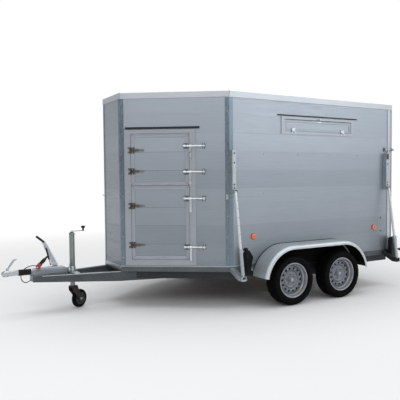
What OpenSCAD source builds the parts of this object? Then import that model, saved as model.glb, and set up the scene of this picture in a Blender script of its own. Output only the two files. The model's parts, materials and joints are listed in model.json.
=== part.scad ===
// Twin-axle livestock trailer with a tapered nose. X runs rearwards, -Y is the left side, Z is up.
// The origin lies on the ground, half-way along the trailer.

/* [Body] */
// Outside width over the side walls
body_w = 1860; // [1560:10:2240]
// From the nose corner to the rear face of the ramp
box_l = 2522; // [2100:2:3030]
// Length of the tapered nose
nose_l = 982; // [820:2:1180]
// Width of the flat front wall
nose_w = 508; // [424:2:610]
// Height of the roof above the ground
roof_z = 2349; // [2200:1:2600]
// Height of the wall bottoms above the ground
wall_z = 469; // [460:1:520]
// Thickness of the wall planks
wall_t = 25; // [18:1:30]
// Height of one wall plank
plank_h = 200; // [120:1:260]
// Thickness of the floor
floor_t = 18; // [12:1:24]
// Width of each leg of the corner posts
post_leg = 46; // [36:1:48]
// Thickness of the corner posts
post_t = 4; // [2:0.5:6]
// Height of the sill rails
sill_h = 62; // [50:1:75]
// How far the sill rails stand out from the walls
sill_out = 6; // [5:0.5:10]
// Height of the roof trim
trim_h = 63; // [45:1:80]

/* [Nose door] */
// From the front corner to the door frame, along the tapered side
frame_d = 50; // [48:1:80]
// Width of the door leaves
leaf_w = 637; // [520:1:760]
// Height of the lower edge of the lower leaf
leaf_z = 540; // [530:1:600]
// Height of the lower leaf
lower_leaf_h = 802; // [650:1:960]
// Height of the upper leaf
upper_leaf_h = 560; // [460:1:620]
// Thickness of the door leaves
leaf_t = 28; // [20:1:30]
// Width of the profile round each leaf
leaf_rim = 40; // [30:1:55]
// Width of the door frame's face
frame_face = 70; // [60:1:90]

/* [Vent flaps] */
// From the nose corner to the vent frame
vent_x = 699; // [200:1:900]
// Length of the vent flaps
flap_l = 1035; // [860:1:1240]
// Height of the vent flaps
flap_h = 129; // [100:1:160]
// Height of the lower edge of the vent flaps
flap_z = 1953; // [1800:1:1960]

/* [Running gear] */
// From the nose corner to the front axle
axle_x = 702; // [640:1:760]
// Distance between the axles
axle_gap = 722; // [680:1:840]
// Outside radius of the tyres
tyre_r = 278; // [262:1:290]
// Width of the tyres
tyre_w = 184; // [165:1:195]
// From the side wall to the middle of the wheels
wheel_off = 148; // [140:1:165]
// Length of the torsion arms
arm_l = 150; // [120:1:180]
// Radius of the torsion shafts
shaft_r = 24; // [20:0.5:26]
// Radius of the hub noses
hub_r = 30; // [25:0.5:36]
// Radial play of shafts and pins in their bores
play = 0.05; // [0.02:0.01:0.1]

/* [Mudguards] */
// Radius of the mudguard ends
guard_r = 400; // [385:1:420]
// Thickness of the mudguard sheet
guard_t = 3; // [2:0.5:4]
// Depth of the mudguards' outer lips
guard_lip = 38; // [25:1:45]

/* [Drawbar] */
// From the front wall to the tip of the coupling
draw_l = 1212; // [1100:2:1450]
// Height of the drawbar arms at the body
arm_h = 107; // [90:1:107]
// Height of the coupling's axis
coupling_z = 452; // [445:1:470]
// Travel of the overrun slide
overrun_travel = 60; // [40:1:70]
// Radius of the draw tube
draw_r = 24; // [20:0.5:28]
// Radius of the coupling ball's socket
socket_r = 25.3; // [25.1:0.1:25.6]

/* [Jockey wheel] */
// From the front wall to the jockey tube
jockey_gap = 473; // [440:1:520]
// Radius of the jockey's inner tube
jockey_r = 24; // [20:0.5:26]
// Radius of the jockey wheel
jockey_wheel_r = 100; // [85:1:110]
// Width of the jockey wheel
jockey_wheel_w = 50; // [40:1:60]
// Trail of the jockey wheel behind its tube
jockey_trail = 96; // [70:1:110]
// Angle to which the jockey wheel is turned at rest
jockey_turn = 29; // [0:1:45]

/* [Props] */
// Height of the top of the perforated rails
rail_z = 1720; // [1600:1:1850]
// Depth of the perforated rails, out from the wall
rail_out = 60; // [45:1:66]
// Width of the perforated rails
rail_w = 45; // [36:1:54]
// Height of the prop heads
prop_z = 1283; // [1200:1:1300]
// Height of the collars on the prop tubes
collar_z = 667; // [560:1:760]
// Radius of the prop rods
prop_r = 15; // [10:0.5:18]

/* [Hidden] */
$fn = 48;

// Plan of the body: B is the front corner, A the nose corner, and t insets the outline.
half_w = body_w / 2;
front_w = nose_w / 2;
front_x = -nose_l;
nose_a = atan2(half_w - front_w, nose_l);
nose_run = norm([nose_l, half_w - front_w]);
nose_dir = [cos(nose_a), -sin(nose_a)];
function corner_b(t) = [front_x + t, -front_w + t * tan((90 - nose_a) / 2)];
function corner_a(t) = [t * tan(nose_a / 2), -half_w + t];
function half_plan(t, x) = [corner_b(t), corner_a(t), [x, -half_w + t]];
function flip(p) = [p[0], -p[1]];
function inner_w(x, t) = x < 0 ? front_w + (x - front_x) * tan(nose_a) - t / cos(nose_a) : half_w - t;

gap = 0.3;
sill_z = wall_z - sill_h;
wall_top = roof_z - trim_h;
ramp_t = 28;
wall_end = box_l - ramp_t - post_t - gap;
seam_w = 3;
seam_z0 = wall_z + 39;
rear_over = 24;
tip_x = front_x - draw_l;
x_shift = -(tip_x + box_l + rear_over) / 2;

// Underframe
frame_in = 55;
frame_w = 50;
frame_z = sill_z - 85;
floor_in = 40;
bearer_h = sill_h - floor_t;
arm_w = 58;
arm_front_x = front_x - 903;
arm_front_w = 55;
arm_rise = 46;
arm_k = corner_b(-8);
arm_slope = (-arm_k[1] - arm_front_w) / (arm_k[0] - arm_front_x);

// Door, measured along the tapered side
leaf_d = frame_d + frame_face + 2;
leaf_gap = 3;
frame_end = leaf_d + leaf_w + leaf_gap + frame_face - 2;
leaf_split = 4;
upper_z = leaf_z + lower_leaf_h + leaf_split;
frame_bot = leaf_z - 65;
frame_top = upper_z + upper_leaf_h + 45;
proud = 8;
leaf_proud = 6;
hinge_y = -17;
hinge_d = leaf_d - 4;
hinge_zs = [upper_z + 383, upper_z + 155, leaf_z + 585, leaf_z + 157];
latch_zs = [upper_z + 422, upper_z + 145, leaf_z + 663, leaf_z + 136];
latch_y = -24;
latch_r = 7;
latch_end = frame_end + 100;
handle_d = leaf_d + leaf_w + 13;

// Running gear
wheel_y = half_w + wheel_off;
wheel_xs = [axle_x, axle_x + axle_gap];
pivot_z = frame_z - 35;
tube_s = 70;
tube_end = half_w - frame_in + 5;
rim_r = 195;
bead_r = 178;
flange_z = 70;
guard_z = 270;
guard_w = wheel_off + tyre_w / 2 + 12;
guard_in = 15;

// Drawbar and jockey
housing_z = sill_z + 8;
housing_top = sill_z + 80;
housing_end = front_x - jockey_gap - 66;
bellows_x = arm_front_x - 17;
bellows_l = 125;
bellows_r = 35;
head_x = bellows_x - bellows_l - gap;
jockey_x = front_x - jockey_gap;
jockey_low = sill_z - 12;
jockey_top = 838;
fork_z = 258;
screw_r = 9;
lever_x = front_x - 662;
lever_z = housing_z + 46;
handle_x = tip_x + 62;
handle_z = coupling_z + 43;
strut_y = 12;

// Props
rail_xs = [0, wall_end - 128];
prop_top_y = -(half_w + rail_out + 18);
prop_foot_y = -(half_w + 214);
prop_foot_z = 382;
prop_tilt = atan2(prop_top_y - prop_foot_y, prop_z - prop_foot_z);
prop_len = norm([prop_top_y - prop_foot_y, prop_z - prop_foot_z]);
prop_tube_r = prop_r + 5;
rail_low = prop_z - 28;
prop_tube_len = (collar_z - prop_foot_z) / cos(prop_tilt);

// Vents, ramp and lamps
vent_pin_z = flap_z - 6;
ramp_z = 430;
ramp_pin_x = box_l + 12;
ramp_pin_z = ramp_z - 12;
ramp_pin_r = 6;
ramp_hinge_ys = [-700, 0, 700];
ramp_latch_z = 1768;
ramp_latch_y = -(half_w + post_t + 17);
lamp_x = rail_xs[1] + rail_w + 10;
lamp_w = 100;

module place() { translate([x_shift, 0, 0]) children(); }
module both() { children(); mirror([0, 1, 0]) children(); }
module right() { mirror([0, 1, 0]) children(); }
// On the tapered side: X from the front corner, -Y out of the wall
module on_nose() { translate([front_x, -front_w, 0]) rotate(-nose_a) children(); }
// On the left side: X from the nose corner, -Y out of the wall
module on_side() { translate([0, -half_w, 0]) children(); }
// Flat outline drawn in X and Z, given a thickness from y0 to y1
module slab(y0, y1) { translate([0, y1, 0]) rotate([90, 0, 0]) linear_extrude(y1 - y0) children(); }
module block(x0, x1, y0, y1, z0, z1) { translate([x0, y0, z0]) cube([x1 - x0, y1 - y0, z1 - z0]); }
module frame_2d(x0, x1, z0, z1, w) {
    difference() {
        translate([x0, z0]) square([x1 - x0, z1 - z0]);
        translate([x0 + w, z0 + w]) square([x1 - x0 - 2 * w, z1 - z0 - 2 * w]);
    }
}
module rod_x(x0, x1, y, z, r) { translate([x0, y, z]) rotate([0, 90, 0]) cylinder(r = r, h = x1 - x0); }
module rod_y(x, y0, y1, z, r) { translate([x, y1, z]) rotate([90, 0, 0]) cylinder(r = r, h = y1 - y0); }
module rod_z(x, y, z0, z1, r) { translate([x, y, z0]) cylinder(r = r, h = z1 - z0); }
module plan(t, x) {
    pts = half_plan(t, x);
    polygon([pts[0], pts[1], pts[2], flip(pts[2]), flip(pts[1]), flip(pts[0])]);
}
module plan_ring(t0, t1, x0, x1) {
    difference() {
        plan(t0, x0);
        plan(t1, x1);
    }
}
module seams(x0, x1) {
    for (z = [seam_z0 : plank_h : wall_top - 40])
        block(x0, x1, -1, 2, z - seam_w / 2, z + seam_w / 2);
}

// ---- underframe ----
module arm_plan() {
    dx = arm_w * norm([1, arm_slope]);
    tail_x = wheel_xs[0] - arm_l - tube_s / 2 - 12;
    tail_y = arm_k[1] - arm_slope * (tail_x - arm_k[0]);
    polygon([[arm_front_x, 0], [arm_front_x, -arm_front_w], [tail_x, tail_y], [tail_x, tail_y + dx]]);
}
module chassis_frame() {
    rail_end = wall_end + post_t;
    color("dimgray") place() {
        difference() {
            translate([0, 0, frame_z]) linear_extrude(sill_z - frame_z)
                plan_ring(frame_in, frame_in + frame_w, rail_end, rail_end - frame_w);
            both() translate([0, 0, frame_z - 60]) linear_extrude(200) arm_plan();
        }
        for (x = [-700, -320, 130, 600, 1063, 1530, 2000, 2380])
            translate([x, -inner_w(x, floor_in + gap), sill_z])
                cube([50, 2 * inner_w(x, floor_in + gap), bearer_h]);
    }
}
module drawbar_arms() {
    color("slategray") place() difference() {
        translate([0, 0, sill_z - arm_h]) linear_extrude(arm_h) both() arm_plan();
        slab(-half_w, half_w) polygon([[arm_front_x - 9, 0], [arm_front_x - 9, sill_z - arm_h + arm_rise],
            [arm_k[0], sill_z - arm_h], [arm_k[0], 0]]);
    }
}
module floor_panel() {
    color("saddlebrown") place() translate([0, 0, wall_z - floor_t]) linear_extrude(floor_t)
        plan(floor_in, wall_end - floor_in + post_t);
}
module sill_rails() {
    rail_end = wall_end + post_t;
    color("lightslategray") place() translate([0, 0, sill_z]) linear_extrude(sill_h)
        plan_ring(-sill_out, floor_in, rail_end, rail_end - floor_in);
}

// ---- walls and roof ----
module side_walls() {
    color("silver") place() both() difference() {
        translate([0, 0, wall_z]) linear_extrude(wall_top - wall_z)
            polygon([corner_a(0), [wall_end, -half_w], [wall_end, -half_w + wall_t], corner_a(wall_t)]);
        on_side() seams(post_leg + 1, wall_end - post_leg - 1);
        on_side() block(vent_x + 34, vent_x + flap_l + 66, -1, wall_t + 1, flap_z - 15, flap_z + flap_h + 18);
    }
}
module nose_panel() {
    difference() {
        translate([0, 0, wall_z]) linear_extrude(wall_top - wall_z)
            polygon([corner_b(0), corner_a(0), corner_a(wall_t), corner_b(wall_t)]);
        on_nose() seams(post_leg + 1, nose_run - post_leg - 1);
    }
}
module nose_walls() {
    color("silver") place() {
        difference() {
            nose_panel();
            on_nose() block(frame_d + 45, frame_end - 45, -1, wall_t + 30, frame_bot + 20, frame_top - 20);
        }
        right() nose_panel();
        difference() {
            translate([0, 0, wall_z]) linear_extrude(wall_top - wall_z)
                polygon([corner_b(0), corner_b(wall_t), flip(corner_b(wall_t)), flip(corner_b(0))]);
            for (z = [seam_z0 : plank_h : wall_top - 40])
                block(front_x - 1, front_x + 2, 38 - front_w, front_w - 38, z - seam_w / 2, z + seam_w / 2);
        }
    }
}
module post_2d(outer, inner, u, v) {
    polygon([outer, outer + post_leg * u, inner + post_leg * u, inner, inner + post_leg * v,
        outer + post_leg * v]);
}
module corner_posts() {
    rear_in = [wall_end, -half_w];
    color("lightsteelblue") place() both() {
        translate([0, 0, wall_z]) linear_extrude(wall_top - wall_z) {
            post_2d(corner_b(-post_t), corner_b(0), [0, 0.7], nose_dir);
            post_2d(corner_a(-post_t), corner_a(0), -nose_dir, [1, 0]);
            post_2d(rear_in + [post_t, -post_t], rear_in, [-1, 0], [0, 1]);
        }
    }
}
module roof_panel() {
    color("gainsboro") place() translate([0, 0, roof_z - 30]) linear_extrude(20) plan(30, box_l - 30);
}
module roof_trim() {
    color("whitesmoke") place() translate([0, 0, wall_top]) linear_extrude(trim_h)
        plan_ring(-8, 30, box_l, box_l - 30);
}

// ---- nose door ----
module door_frame() {
    color("lightgray") place() on_nose() difference() {
        union() {
            slab(-proud, 0) translate([frame_d, frame_bot])
                square([frame_end - frame_d, frame_top - frame_bot]);
            slab(0, wall_t) translate([frame_d + 45, frame_bot + 20])
                square([frame_end - frame_d - 90, frame_top - frame_bot - 40]);
        }
        block(leaf_d - 2, leaf_d + leaf_w + leaf_gap, -proud - 1, wall_t + 1, leaf_z - 2,
            upper_z + upper_leaf_h + 2);
    }
}
// One door leaf: panel, rim profile, two strap hinges and the bearings of two latches
module door_leaf(z0, h, hinges, latches) {
    difference() {
        union() {
            block(leaf_d, leaf_d + leaf_w, 0, leaf_t - leaf_proud, z0, z0 + h);
            slab(-leaf_proud, 0) frame_2d(leaf_d, leaf_d + leaf_w, z0, z0 + h, leaf_rim);
        }
        for (z = [seam_z0 : plank_h : z0 + h - leaf_rim])
            if (z > z0 + leaf_rim)
                block(leaf_d + leaf_rim, leaf_d + leaf_w - leaf_rim, -1, 2, z - seam_w / 2, z + seam_w / 2);
    }
    for (z = hinges) {
        difference() {
            union() {
                rod_z(hinge_d, hinge_y, z - 11.7, z + 11.7, 8);
                block(hinge_d, leaf_d + 10, -14, -proud - 1, z - 11.7, z + 11.7);
            }
            rod_z(hinge_d, hinge_y, z - 20, z + 20, 4 + play);
        }
        block(leaf_d + 5, leaf_d + 40, -14, -leaf_proud, z - 33, z + 33);
        slab(-12, -leaf_proud) polygon([[leaf_d + 40, z - 24], [leaf_d + 145, z - 12],
            [leaf_d + 145, z + 12], [leaf_d + 40, z + 24]]);
    }
    for (z = latches)
        for (d = [leaf_w - 52, leaf_w - 20])
            difference() {
                block(leaf_d + d, leaf_d + d + 16, latch_y - 11, -leaf_proud, z - 14, z + 14);
                rod_x(leaf_d + d - 1, leaf_d + d + 17, latch_y, z, latch_r + play);
            }
}
module door_upper() {
    color("silver") place() on_nose()
        door_leaf(upper_z, upper_leaf_h, [hinge_zs[0], hinge_zs[1]], [latch_zs[0], latch_zs[1]]);
}
module door_lower() {
    color("silver") place() on_nose()
        door_leaf(leaf_z, lower_leaf_h, [hinge_zs[2], hinge_zs[3]], [latch_zs[2], latch_zs[3]]);
}
module door_latch(z) {
    color("gainsboro") place() on_nose() {
        rod_x(leaf_d + leaf_w - 62, latch_end, latch_y, z, latch_r);
        rod_x(leaf_d + leaf_w - 62, leaf_d + leaf_w - 54, latch_y, z, 11);
        rod_x(handle_d - 11, handle_d + 11, latch_y, z, 12);
        block(handle_d - 10, handle_d + 10, latch_y - 3, latch_y + 3, z - 150, z);
    }
}
module door_latch_1() { door_latch(latch_zs[0]); }
module door_latch_2() { door_latch(latch_zs[1]); }
module door_latch_3() { door_latch(latch_zs[2]); }
module door_latch_4() { door_latch(latch_zs[3]); }
// Keepers, fixed hinge halves with their pins, wall bolts and the vent catches
module keeper(x, z) {
    block(x - 20, x + 4, -5, 0, z - 22, z + 22);
    for (s = [-1, 1])
        block(x - 17, x, latch_y - 10, -5, z + s * 10.5 - 3, z + s * 10.5 + 3);
}
module fixed_hinge(z) {
    for (s = [-1, 1])
        translate([0, 0, s * 22.5]) {
            rod_z(hinge_d, hinge_y, z - 10.5, z + 10.5, 8);
            block(hinge_d - 26, hinge_d, -14, -proud, z - 10.5, z + 10.5);
        }
    rod_z(hinge_d, hinge_y, z - 33, z + 33, 4);
}
module wall_fittings() {
    flap_mid = vent_x + 50 + flap_l / 2;
    color("lightgray") place() {
        on_nose() for (z = latch_zs) keeper(latch_end - 6, z);
        on_nose() for (z = hinge_zs) fixed_hinge(z);
        both() on_side() {
            for (x = [457, 947, 1428, 1899], z = [1684, 1245]) rod_y(x, -4, 0, z, 9);
            for (x = [vent_x + 174, vent_x + flap_l - 93]) vent_hinge_fixed(x);
            rod_y(flap_mid, -26, -proud, flap_z + flap_h + 17, 7);
            block(flap_mid - 14, flap_mid + 14, -22, -14, flap_z + flap_h + 11, flap_z + flap_h + 23);
            keeper_rear(rail_xs[1] + 32);
        }
    }
}

// ---- drip strips and vents ----
module drip_strips() {
    color("black") place() {
        on_nose() slab(-20, 0) translate([frame_d + 12, frame_top + 7]) square([frame_end - frame_d + 32, 22]);
        both() on_side() slab(-20, 0) translate([vent_x - 50, flap_z + flap_h + 44])
            square([flap_l + 200, 12]);
    }
}
module vent_frames() {
    color("lightgray") place() both() on_side() difference() {
        union() {
            slab(-proud, 0) translate([vent_x, flap_z - 35]) square([flap_l + 100, flap_h + 70]);
            slab(0, wall_t) translate([vent_x + 34, flap_z - 15]) square([flap_l + 32, flap_h + 33]);
        }
        block(vent_x + 48, vent_x + flap_l + 52, -proud - 1, wall_t + 1, flap_z - 2, flap_z + flap_h + 6);
    }
}
module vent_hinge_fixed(x) {
    for (s = [-1, 1]) {
        rod_x(x + s * 20 - 8, x + s * 20 + 8, hinge_y, vent_pin_z, 7);
        block(x + s * 20 - 8, x + s * 20 + 8, -13, -proud, vent_pin_z - 20, vent_pin_z);
    }
    rod_x(x - 28, x + 28, hinge_y, vent_pin_z, 3.5);
}
module vent_flap() {
    on_side() {
        block(vent_x + 50, vent_x + 50 + flap_l, 0, 16, flap_z, flap_z + flap_h);
        slab(-leaf_proud, 0) frame_2d(vent_x + 50, vent_x + 50 + flap_l, flap_z, flap_z + flap_h, 26);
        for (x = [vent_x + 174, vent_x + flap_l - 93])
            difference() {
                union() {
                    rod_x(x - 11.5, x + 11.5, hinge_y, vent_pin_z, 7);
                    block(x - 11.5, x + 11.5, -13, -proud - 1, vent_pin_z, flap_z + 4);
                    block(x - 26, x + 26, -13, -leaf_proud, flap_z + 3, flap_z + 34);
                }
                rod_x(x - 20, x + 20, hinge_y, vent_pin_z, 3.5 + play);
            }
    }
}
module vent_flap_left() { color("silver") place() vent_flap(); }
module vent_flap_right() { color("silver") place() right() vent_flap(); }

// ---- rear ramp ----
module loading_ramp() {
    x0 = wall_end + post_t + gap;
    color("silver") place() {
        difference() {
            block(x0 + 6, box_l - 4, -half_w - 2, half_w + 2, ramp_z, wall_top - 2);
            for (z = [seam_z0 : plank_h : wall_top - 60])
                block(box_l - 6, box_l, 60 - half_w, half_w - 60, z - seam_w / 2, z + seam_w / 2);
        }
        translate([box_l, 0, 0]) rotate([0, 0, 90]) slab(0, 4) difference() {
            translate([-half_w - 2, ramp_z]) square([body_w + 4, wall_top - 2 - ramp_z]);
            translate([-half_w + 58, ramp_z + 60]) square([body_w - 116, wall_top - ramp_z - 122]);
        }
        for (z = [wall_z + 80 : 250 : wall_top - 100])
            block(x0, x0 + 6, -half_w + 90, half_w - 90, z, z + 30);
        for (y = ramp_hinge_ys)
            difference() {
                union() {
                    rod_y(ramp_pin_x, y - 29.7, y + 29.7, ramp_pin_z, 11);
                    block(box_l, box_l + 8, y - 29.7, y + 29.7, ramp_pin_z, ramp_z + 70);
                }
                rod_y(ramp_pin_x, y - 40, y + 40, ramp_pin_z, ramp_pin_r + play);
            }
        both() difference() {
            block(box_l - 24, box_l - 4, ramp_latch_y - 14, -half_w - 2, ramp_latch_z - 16, ramp_latch_z + 16);
            rod_x(box_l - 30, box_l, ramp_latch_y, ramp_latch_z, latch_r + play);
        }
    }
}
module ramp_latch() {
    y = ramp_latch_y;
    color("gainsboro") place() {
        rod_x(rail_xs[1] + 18, box_l + 12, y, ramp_latch_z, latch_r);
        rod_x(box_l - 2, box_l + 16, y, ramp_latch_z, 11);
        rod_x(rail_xs[1] + 62, rail_xs[1] + 84, y, ramp_latch_z, 12);
        block(rail_xs[1] + 63, rail_xs[1] + 83, y - 3, y + 3, ramp_latch_z - 62, ramp_latch_z);
    }
}
module ramp_latch_left() { ramp_latch(); }
module ramp_latch_right() { right() ramp_latch(); }
module keeper_rear(x) {
    y = ramp_latch_y + half_w;
    block(x - 18, x + 2, -5, 0, ramp_latch_z - 24, ramp_latch_z + 24);
    for (s = [-1, 1])
        block(x - 16, x, y - 10, -5, ramp_latch_z + s * 10.5 - 3, ramp_latch_z + s * 10.5 + 3);
}

// ---- props ----
// In a prop's own frame Z runs up its axis from the foot pin
module on_prop(x) { translate([x, prop_foot_y, prop_foot_z]) rotate([-prop_tilt, 0, 0]) children(); }
module prop_brackets() {
    color("lightslategray") place() both() for (x = rail_xs) {
        difference() {
            block(x, x + rail_w, -half_w - rail_out, -half_w - (x == 0 ? post_t : 0), rail_low, rail_z);
            block(x + 4, x + rail_w - 4, -half_w - rail_out + 4, -half_w, rail_low - 1, rail_z - 4);
            for (z = [rail_z - 35, rail_z - 138, prop_z + 66, prop_z + 31])
                rod_y(x + rail_w / 2, -half_w - rail_out - 2, -half_w - rail_out + 8, z, 7);
        }
        // Cup over the head of the prop, open below
        translate([x + rail_w / 2, 0, 0]) {
            block(-22.5, 22.5, prop_top_y - 18, -half_w - rail_out, prop_z + 9, prop_z + 14);
            for (s = [-1, 1])
                block(s * 19.5 - 3, s * 19.5 + 3, prop_top_y - 18, -half_w - rail_out, prop_z - 22,
                    prop_z + 9);
        }
        // Outrigger from the sill to the foot of the prop
        difference() {
            translate([x + rail_w / 2 - 30, 0, 0]) rotate([90, 0, 90]) linear_extrude(60)
                polygon([[-half_w - sill_out, sill_z + 48], [-half_w - sill_out, sill_z + 4],
                    [prop_foot_y + 50, prop_foot_z - 42], [prop_foot_y - 22, prop_foot_z - 42],
                    [prop_foot_y - 22, prop_foot_z + 8], [prop_foot_y + 50, prop_foot_z + 8]]);
            block(x + rail_w / 2 - 20, x + rail_w / 2 + 20, prop_foot_y - 40, prop_foot_y + 32,
                prop_foot_z - 24, prop_foot_z + 30);
        }
    }
}
module prop_tubes() {
    color("lightgray") place() both() for (x = rail_xs) on_prop(x + rail_w / 2) {
        difference() {
            union() {
                translate([0, 0, 16]) cylinder(r = prop_tube_r, h = prop_tube_len - 16);
                translate([0, 0, prop_tube_len - 40]) cylinder(r = prop_tube_r + 4, h = 40);
                block(-12, 12, -12, 12, -4, 20);
            }
            translate([0, 0, 24]) cylinder(r = prop_r + play, h = prop_tube_len);
        }
        rod_x(-20, 20, 0, 0, 7);
    }
}
module prop_rod(i) {
    color("gainsboro") place() on_prop(rail_xs[i] + rail_w / 2) {
        translate([0, 0, prop_tube_len - 60]) cylinder(r = prop_r, h = prop_len - prop_tube_len + 60);
    }
}
module prop_rod_front_left() { prop_rod(0); }
module prop_rod_front_right() { right() prop_rod(0); }
module prop_rod_rear_left() { prop_rod(1); }
module prop_rod_rear_right() { right() prop_rod(1); }

// ---- mudguards, chocks and lamps ----
module guard_2d(r, low) {
    difference() {
        union() {
            for (s = [-1, 1]) translate([(wheel_xs[0] + wheel_xs[1]) / 2 + s * (axle_gap / 2 + guard_in), guard_z])
                circle(r = r, $fn = 96);
            translate([wheel_xs[0] - guard_in, guard_z]) square([axle_gap + 2 * guard_in, r]);
        }
        translate([wheel_xs[0] - 600, low - 900]) square([axle_gap + 1200, 900]);
    }
}
module mudguards() {
    low = guard_z + 66;
    color("gainsboro") place() both() on_side() {
        slab(-guard_w, 0) difference() {
            guard_2d(guard_r, low);
            guard_2d(guard_r - guard_t, 0);
            block(0, 2200, 0, sill_z + sill_h, -1, 1);
        }
        slab(-guard_w, -sill_out - 1) difference() {
            guard_2d(guard_r, low);
            guard_2d(guard_r - guard_t, 0);
        }
        slab(-guard_w - 3, -guard_w) difference() {
            guard_2d(guard_r, low);
            guard_2d(guard_r - guard_lip, 0);
        }
    }
}
module wheel_chocks() {
    x0 = 150;
    color("black") place() both() on_side() {
        slab(-104, -18) polygon([[x0, 648], [x0 + 35, 636], [x0 + 84, 562], [x0 + 62, 490], [x0 + 46, 395],
            [x0 + 12, 395], [x0, 520]]);
        block(x0 + 2, x0 + 60, -18, 0, 500, 600);
    }
}
module lamps() {
    color("orangered") place() both() on_side() {
        for (x = [310, wall_end - 291]) rod_y(x, -14, 0, 773, 35);
        difference() {
            union() {
                block(lamp_x, lamp_x + lamp_w, -105, -sill_out, 380, 640 - lamp_w / 2);
                rod_y(lamp_x + lamp_w / 2, -105, -sill_out, 640 - lamp_w / 2, lamp_w / 2);
            }
            block(lamp_x - 1, lamp_x + lamp_w + 1, -40, 0, wall_z + 0.5, 660);
        }
        block(lamp_x + 60, lamp_x + 96, -150, -105, 480, 492);
        rod_x(lamp_x + 58, lamp_x + 98, -166, 486, 18);
    }
}

// ---- axles and wheels ----
module axle_tubes() {
    color("dimgray") place() for (x = wheel_xs) translate([x - arm_l, 0, 0]) difference() {
        block(-tube_s / 2, tube_s / 2, -tube_end, tube_end, pivot_z - tube_s / 2, pivot_z + tube_s / 2);
        for (s = [-1, 1]) translate([0, s * (tube_end - 50), pivot_z]) rotate([90, 0, 0])
            cylinder(r = shaft_r + play, h = 140, center = true);
    }
}
module axle_arm(x) {
    hub_y = -wheel_y;
    color("dimgray") place() {
        rod_y(x - arm_l, -tube_end - 10, -tube_end + 110, pivot_z, shaft_r);
        slab(-half_w + 9, -tube_end - 0.5) {
            translate([x - arm_l, pivot_z]) circle(r = 36);
            translate([x, tyre_r]) circle(r = 34);
            translate([x - arm_l, pivot_z]) rotate(-atan2(pivot_z - tyre_r, arm_l)) translate([0, -28])
                square([arm_l, 56]);
        }
        rod_y(x, hub_y + 50, -half_w + 20, tyre_r, 22);
        rod_y(x, hub_y - 1.7, hub_y + 60, tyre_r, 115);
        rod_y(x, hub_y - 42, hub_y + 10, tyre_r, hub_r - play);
    }
}
module axle_arm_front_left() { axle_arm(wheel_xs[0]); }
module axle_arm_front_right() { right() axle_arm(wheel_xs[0]); }
module axle_arm_rear_left() { axle_arm(wheel_xs[1]); }
module axle_arm_rear_right() { right() axle_arm(wheel_xs[1]); }
// In a wheel's own frame Z runs along the axle, outwards
module on_wheel(x) { translate([x, -wheel_y, tyre_r]) rotate([90, 0, 0]) children(); }
function tyre_side(s, t) = let (w = tyre_w / 2 - t, r = tyre_r - t, h = tyre_r - rim_r)
    [[bead_r + gap, s * (flange_z - gap - t)], [rim_r + 1, s * (flange_z - gap - t)],
    [rim_r + 0.12 * h, s * (w - 6)], [rim_r + 0.36 * h, s * w], [r - 0.34 * h, s * (w - 2)],
    [r - 0.12 * h, s * (w - 12)], [r, s * (w - 32)]];
function reversed(v) = [for (i = [len(v) - 1 : -1 : 0]) v[i]];
module tyre(x) {
    color("black") place() on_wheel(x) rotate_extrude($fn = 96)
        polygon(concat(tyre_side(-1, 0), reversed(tyre_side(1, 0)), tyre_side(1, 10),
            reversed(tyre_side(-1, 10))));
}
module tyre_front_left() { tyre(wheel_xs[0]); }
module tyre_front_right() { right() tyre(wheel_xs[0]); }
module tyre_rear_left() { tyre(wheel_xs[1]); }
module tyre_rear_right() { right() tyre(wheel_xs[1]); }
module rim(x) {
    color("silver") place() on_wheel(x) {
        difference() {
            rotate_extrude($fn = 96) {
                polygon([[rim_r, flange_z], [rim_r, flange_z + 3], [bead_r - 3, flange_z + 3],
                    [bead_r - 4, 40], [160, 26], [160, -30], [bead_r - 4, -44], [bead_r - 3, -flange_z - 3],
                    [rim_r, -flange_z - 3], [rim_r, -flange_z], [bead_r, -flange_z], [bead_r, -42],
                    [163, -28], [163, 24], [bead_r, 38], [bead_r, flange_z]]);
                polygon([[161, 0], [150, 18], [120, 25], [95, 14], [80, 6], [hub_r, 6], [hub_r, 2],
                    [80, 2], [96, 10], [120, 21], [148, 14], [157, 0]]);
            }
            for (a = [0 : 360 / 14 : 359]) rotate(a) translate([127, 0, 0]) cylinder(r = 11, h = 40);
            cylinder(r = hub_r, h = 200, center = true);
        }
        for (a = [0 : 72 : 359]) rotate(a) translate([56, 0, 5]) cylinder(r = 10, h = 14, $fn = 6);
    }
}
module rim_front_left() { rim(wheel_xs[0]); }
module rim_front_right() { right() rim(wheel_xs[0]); }
module rim_rear_left() { rim(wheel_xs[1]); }
module rim_rear_right() { right() rim(wheel_xs[1]); }

// ---- overrun and coupling ----
module overrun_housing() {
    x0 = arm_front_x - 14;
    color("silver") place() difference() {
        union() {
            block(x0 + 14, housing_end, -60, 60, sill_z, housing_z);
            slab(-50, 50) polygon([[x0, housing_z], [x0, housing_top - 12], [x0 + 60, housing_top],
                [housing_end, housing_top], [housing_end, housing_z]]);
            block(x0, x0 + 14, -52, 52, sill_z - 55, housing_z);
            for (y = [-16, 6.3]) slab(y, y + 9.7) translate([lever_x, lever_z]) circle(r = 40);
        }
        rod_x(x0 - 1, x0 + 240, 0, coupling_z, draw_r + play);
        // Slot for the handbrake lever
        block(lever_x - 90, lever_x + 60, -6.3, 6.3, housing_z + 2, housing_top + 40);
    }
    color("silver") place() rod_y(lever_x, -12, 12, lever_z, 8);
}
module bellows() {
    pitch = bellows_l / 8;
    color("black") place() translate([bellows_x - bellows_l + 3, 0, coupling_z]) rotate([0, 90, 0])
        rotate_extrude() polygon(concat([[draw_r + 1.5, 0]],
            [for (i = [0 : 7], k = [0, 1]) [bellows_r - (k == 0 ? 7 : 0), (i + k * 0.5) * pitch]],
            [[bellows_r - 7, bellows_l - gap], [draw_r + 1.5, bellows_l - gap]]));
}
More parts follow.
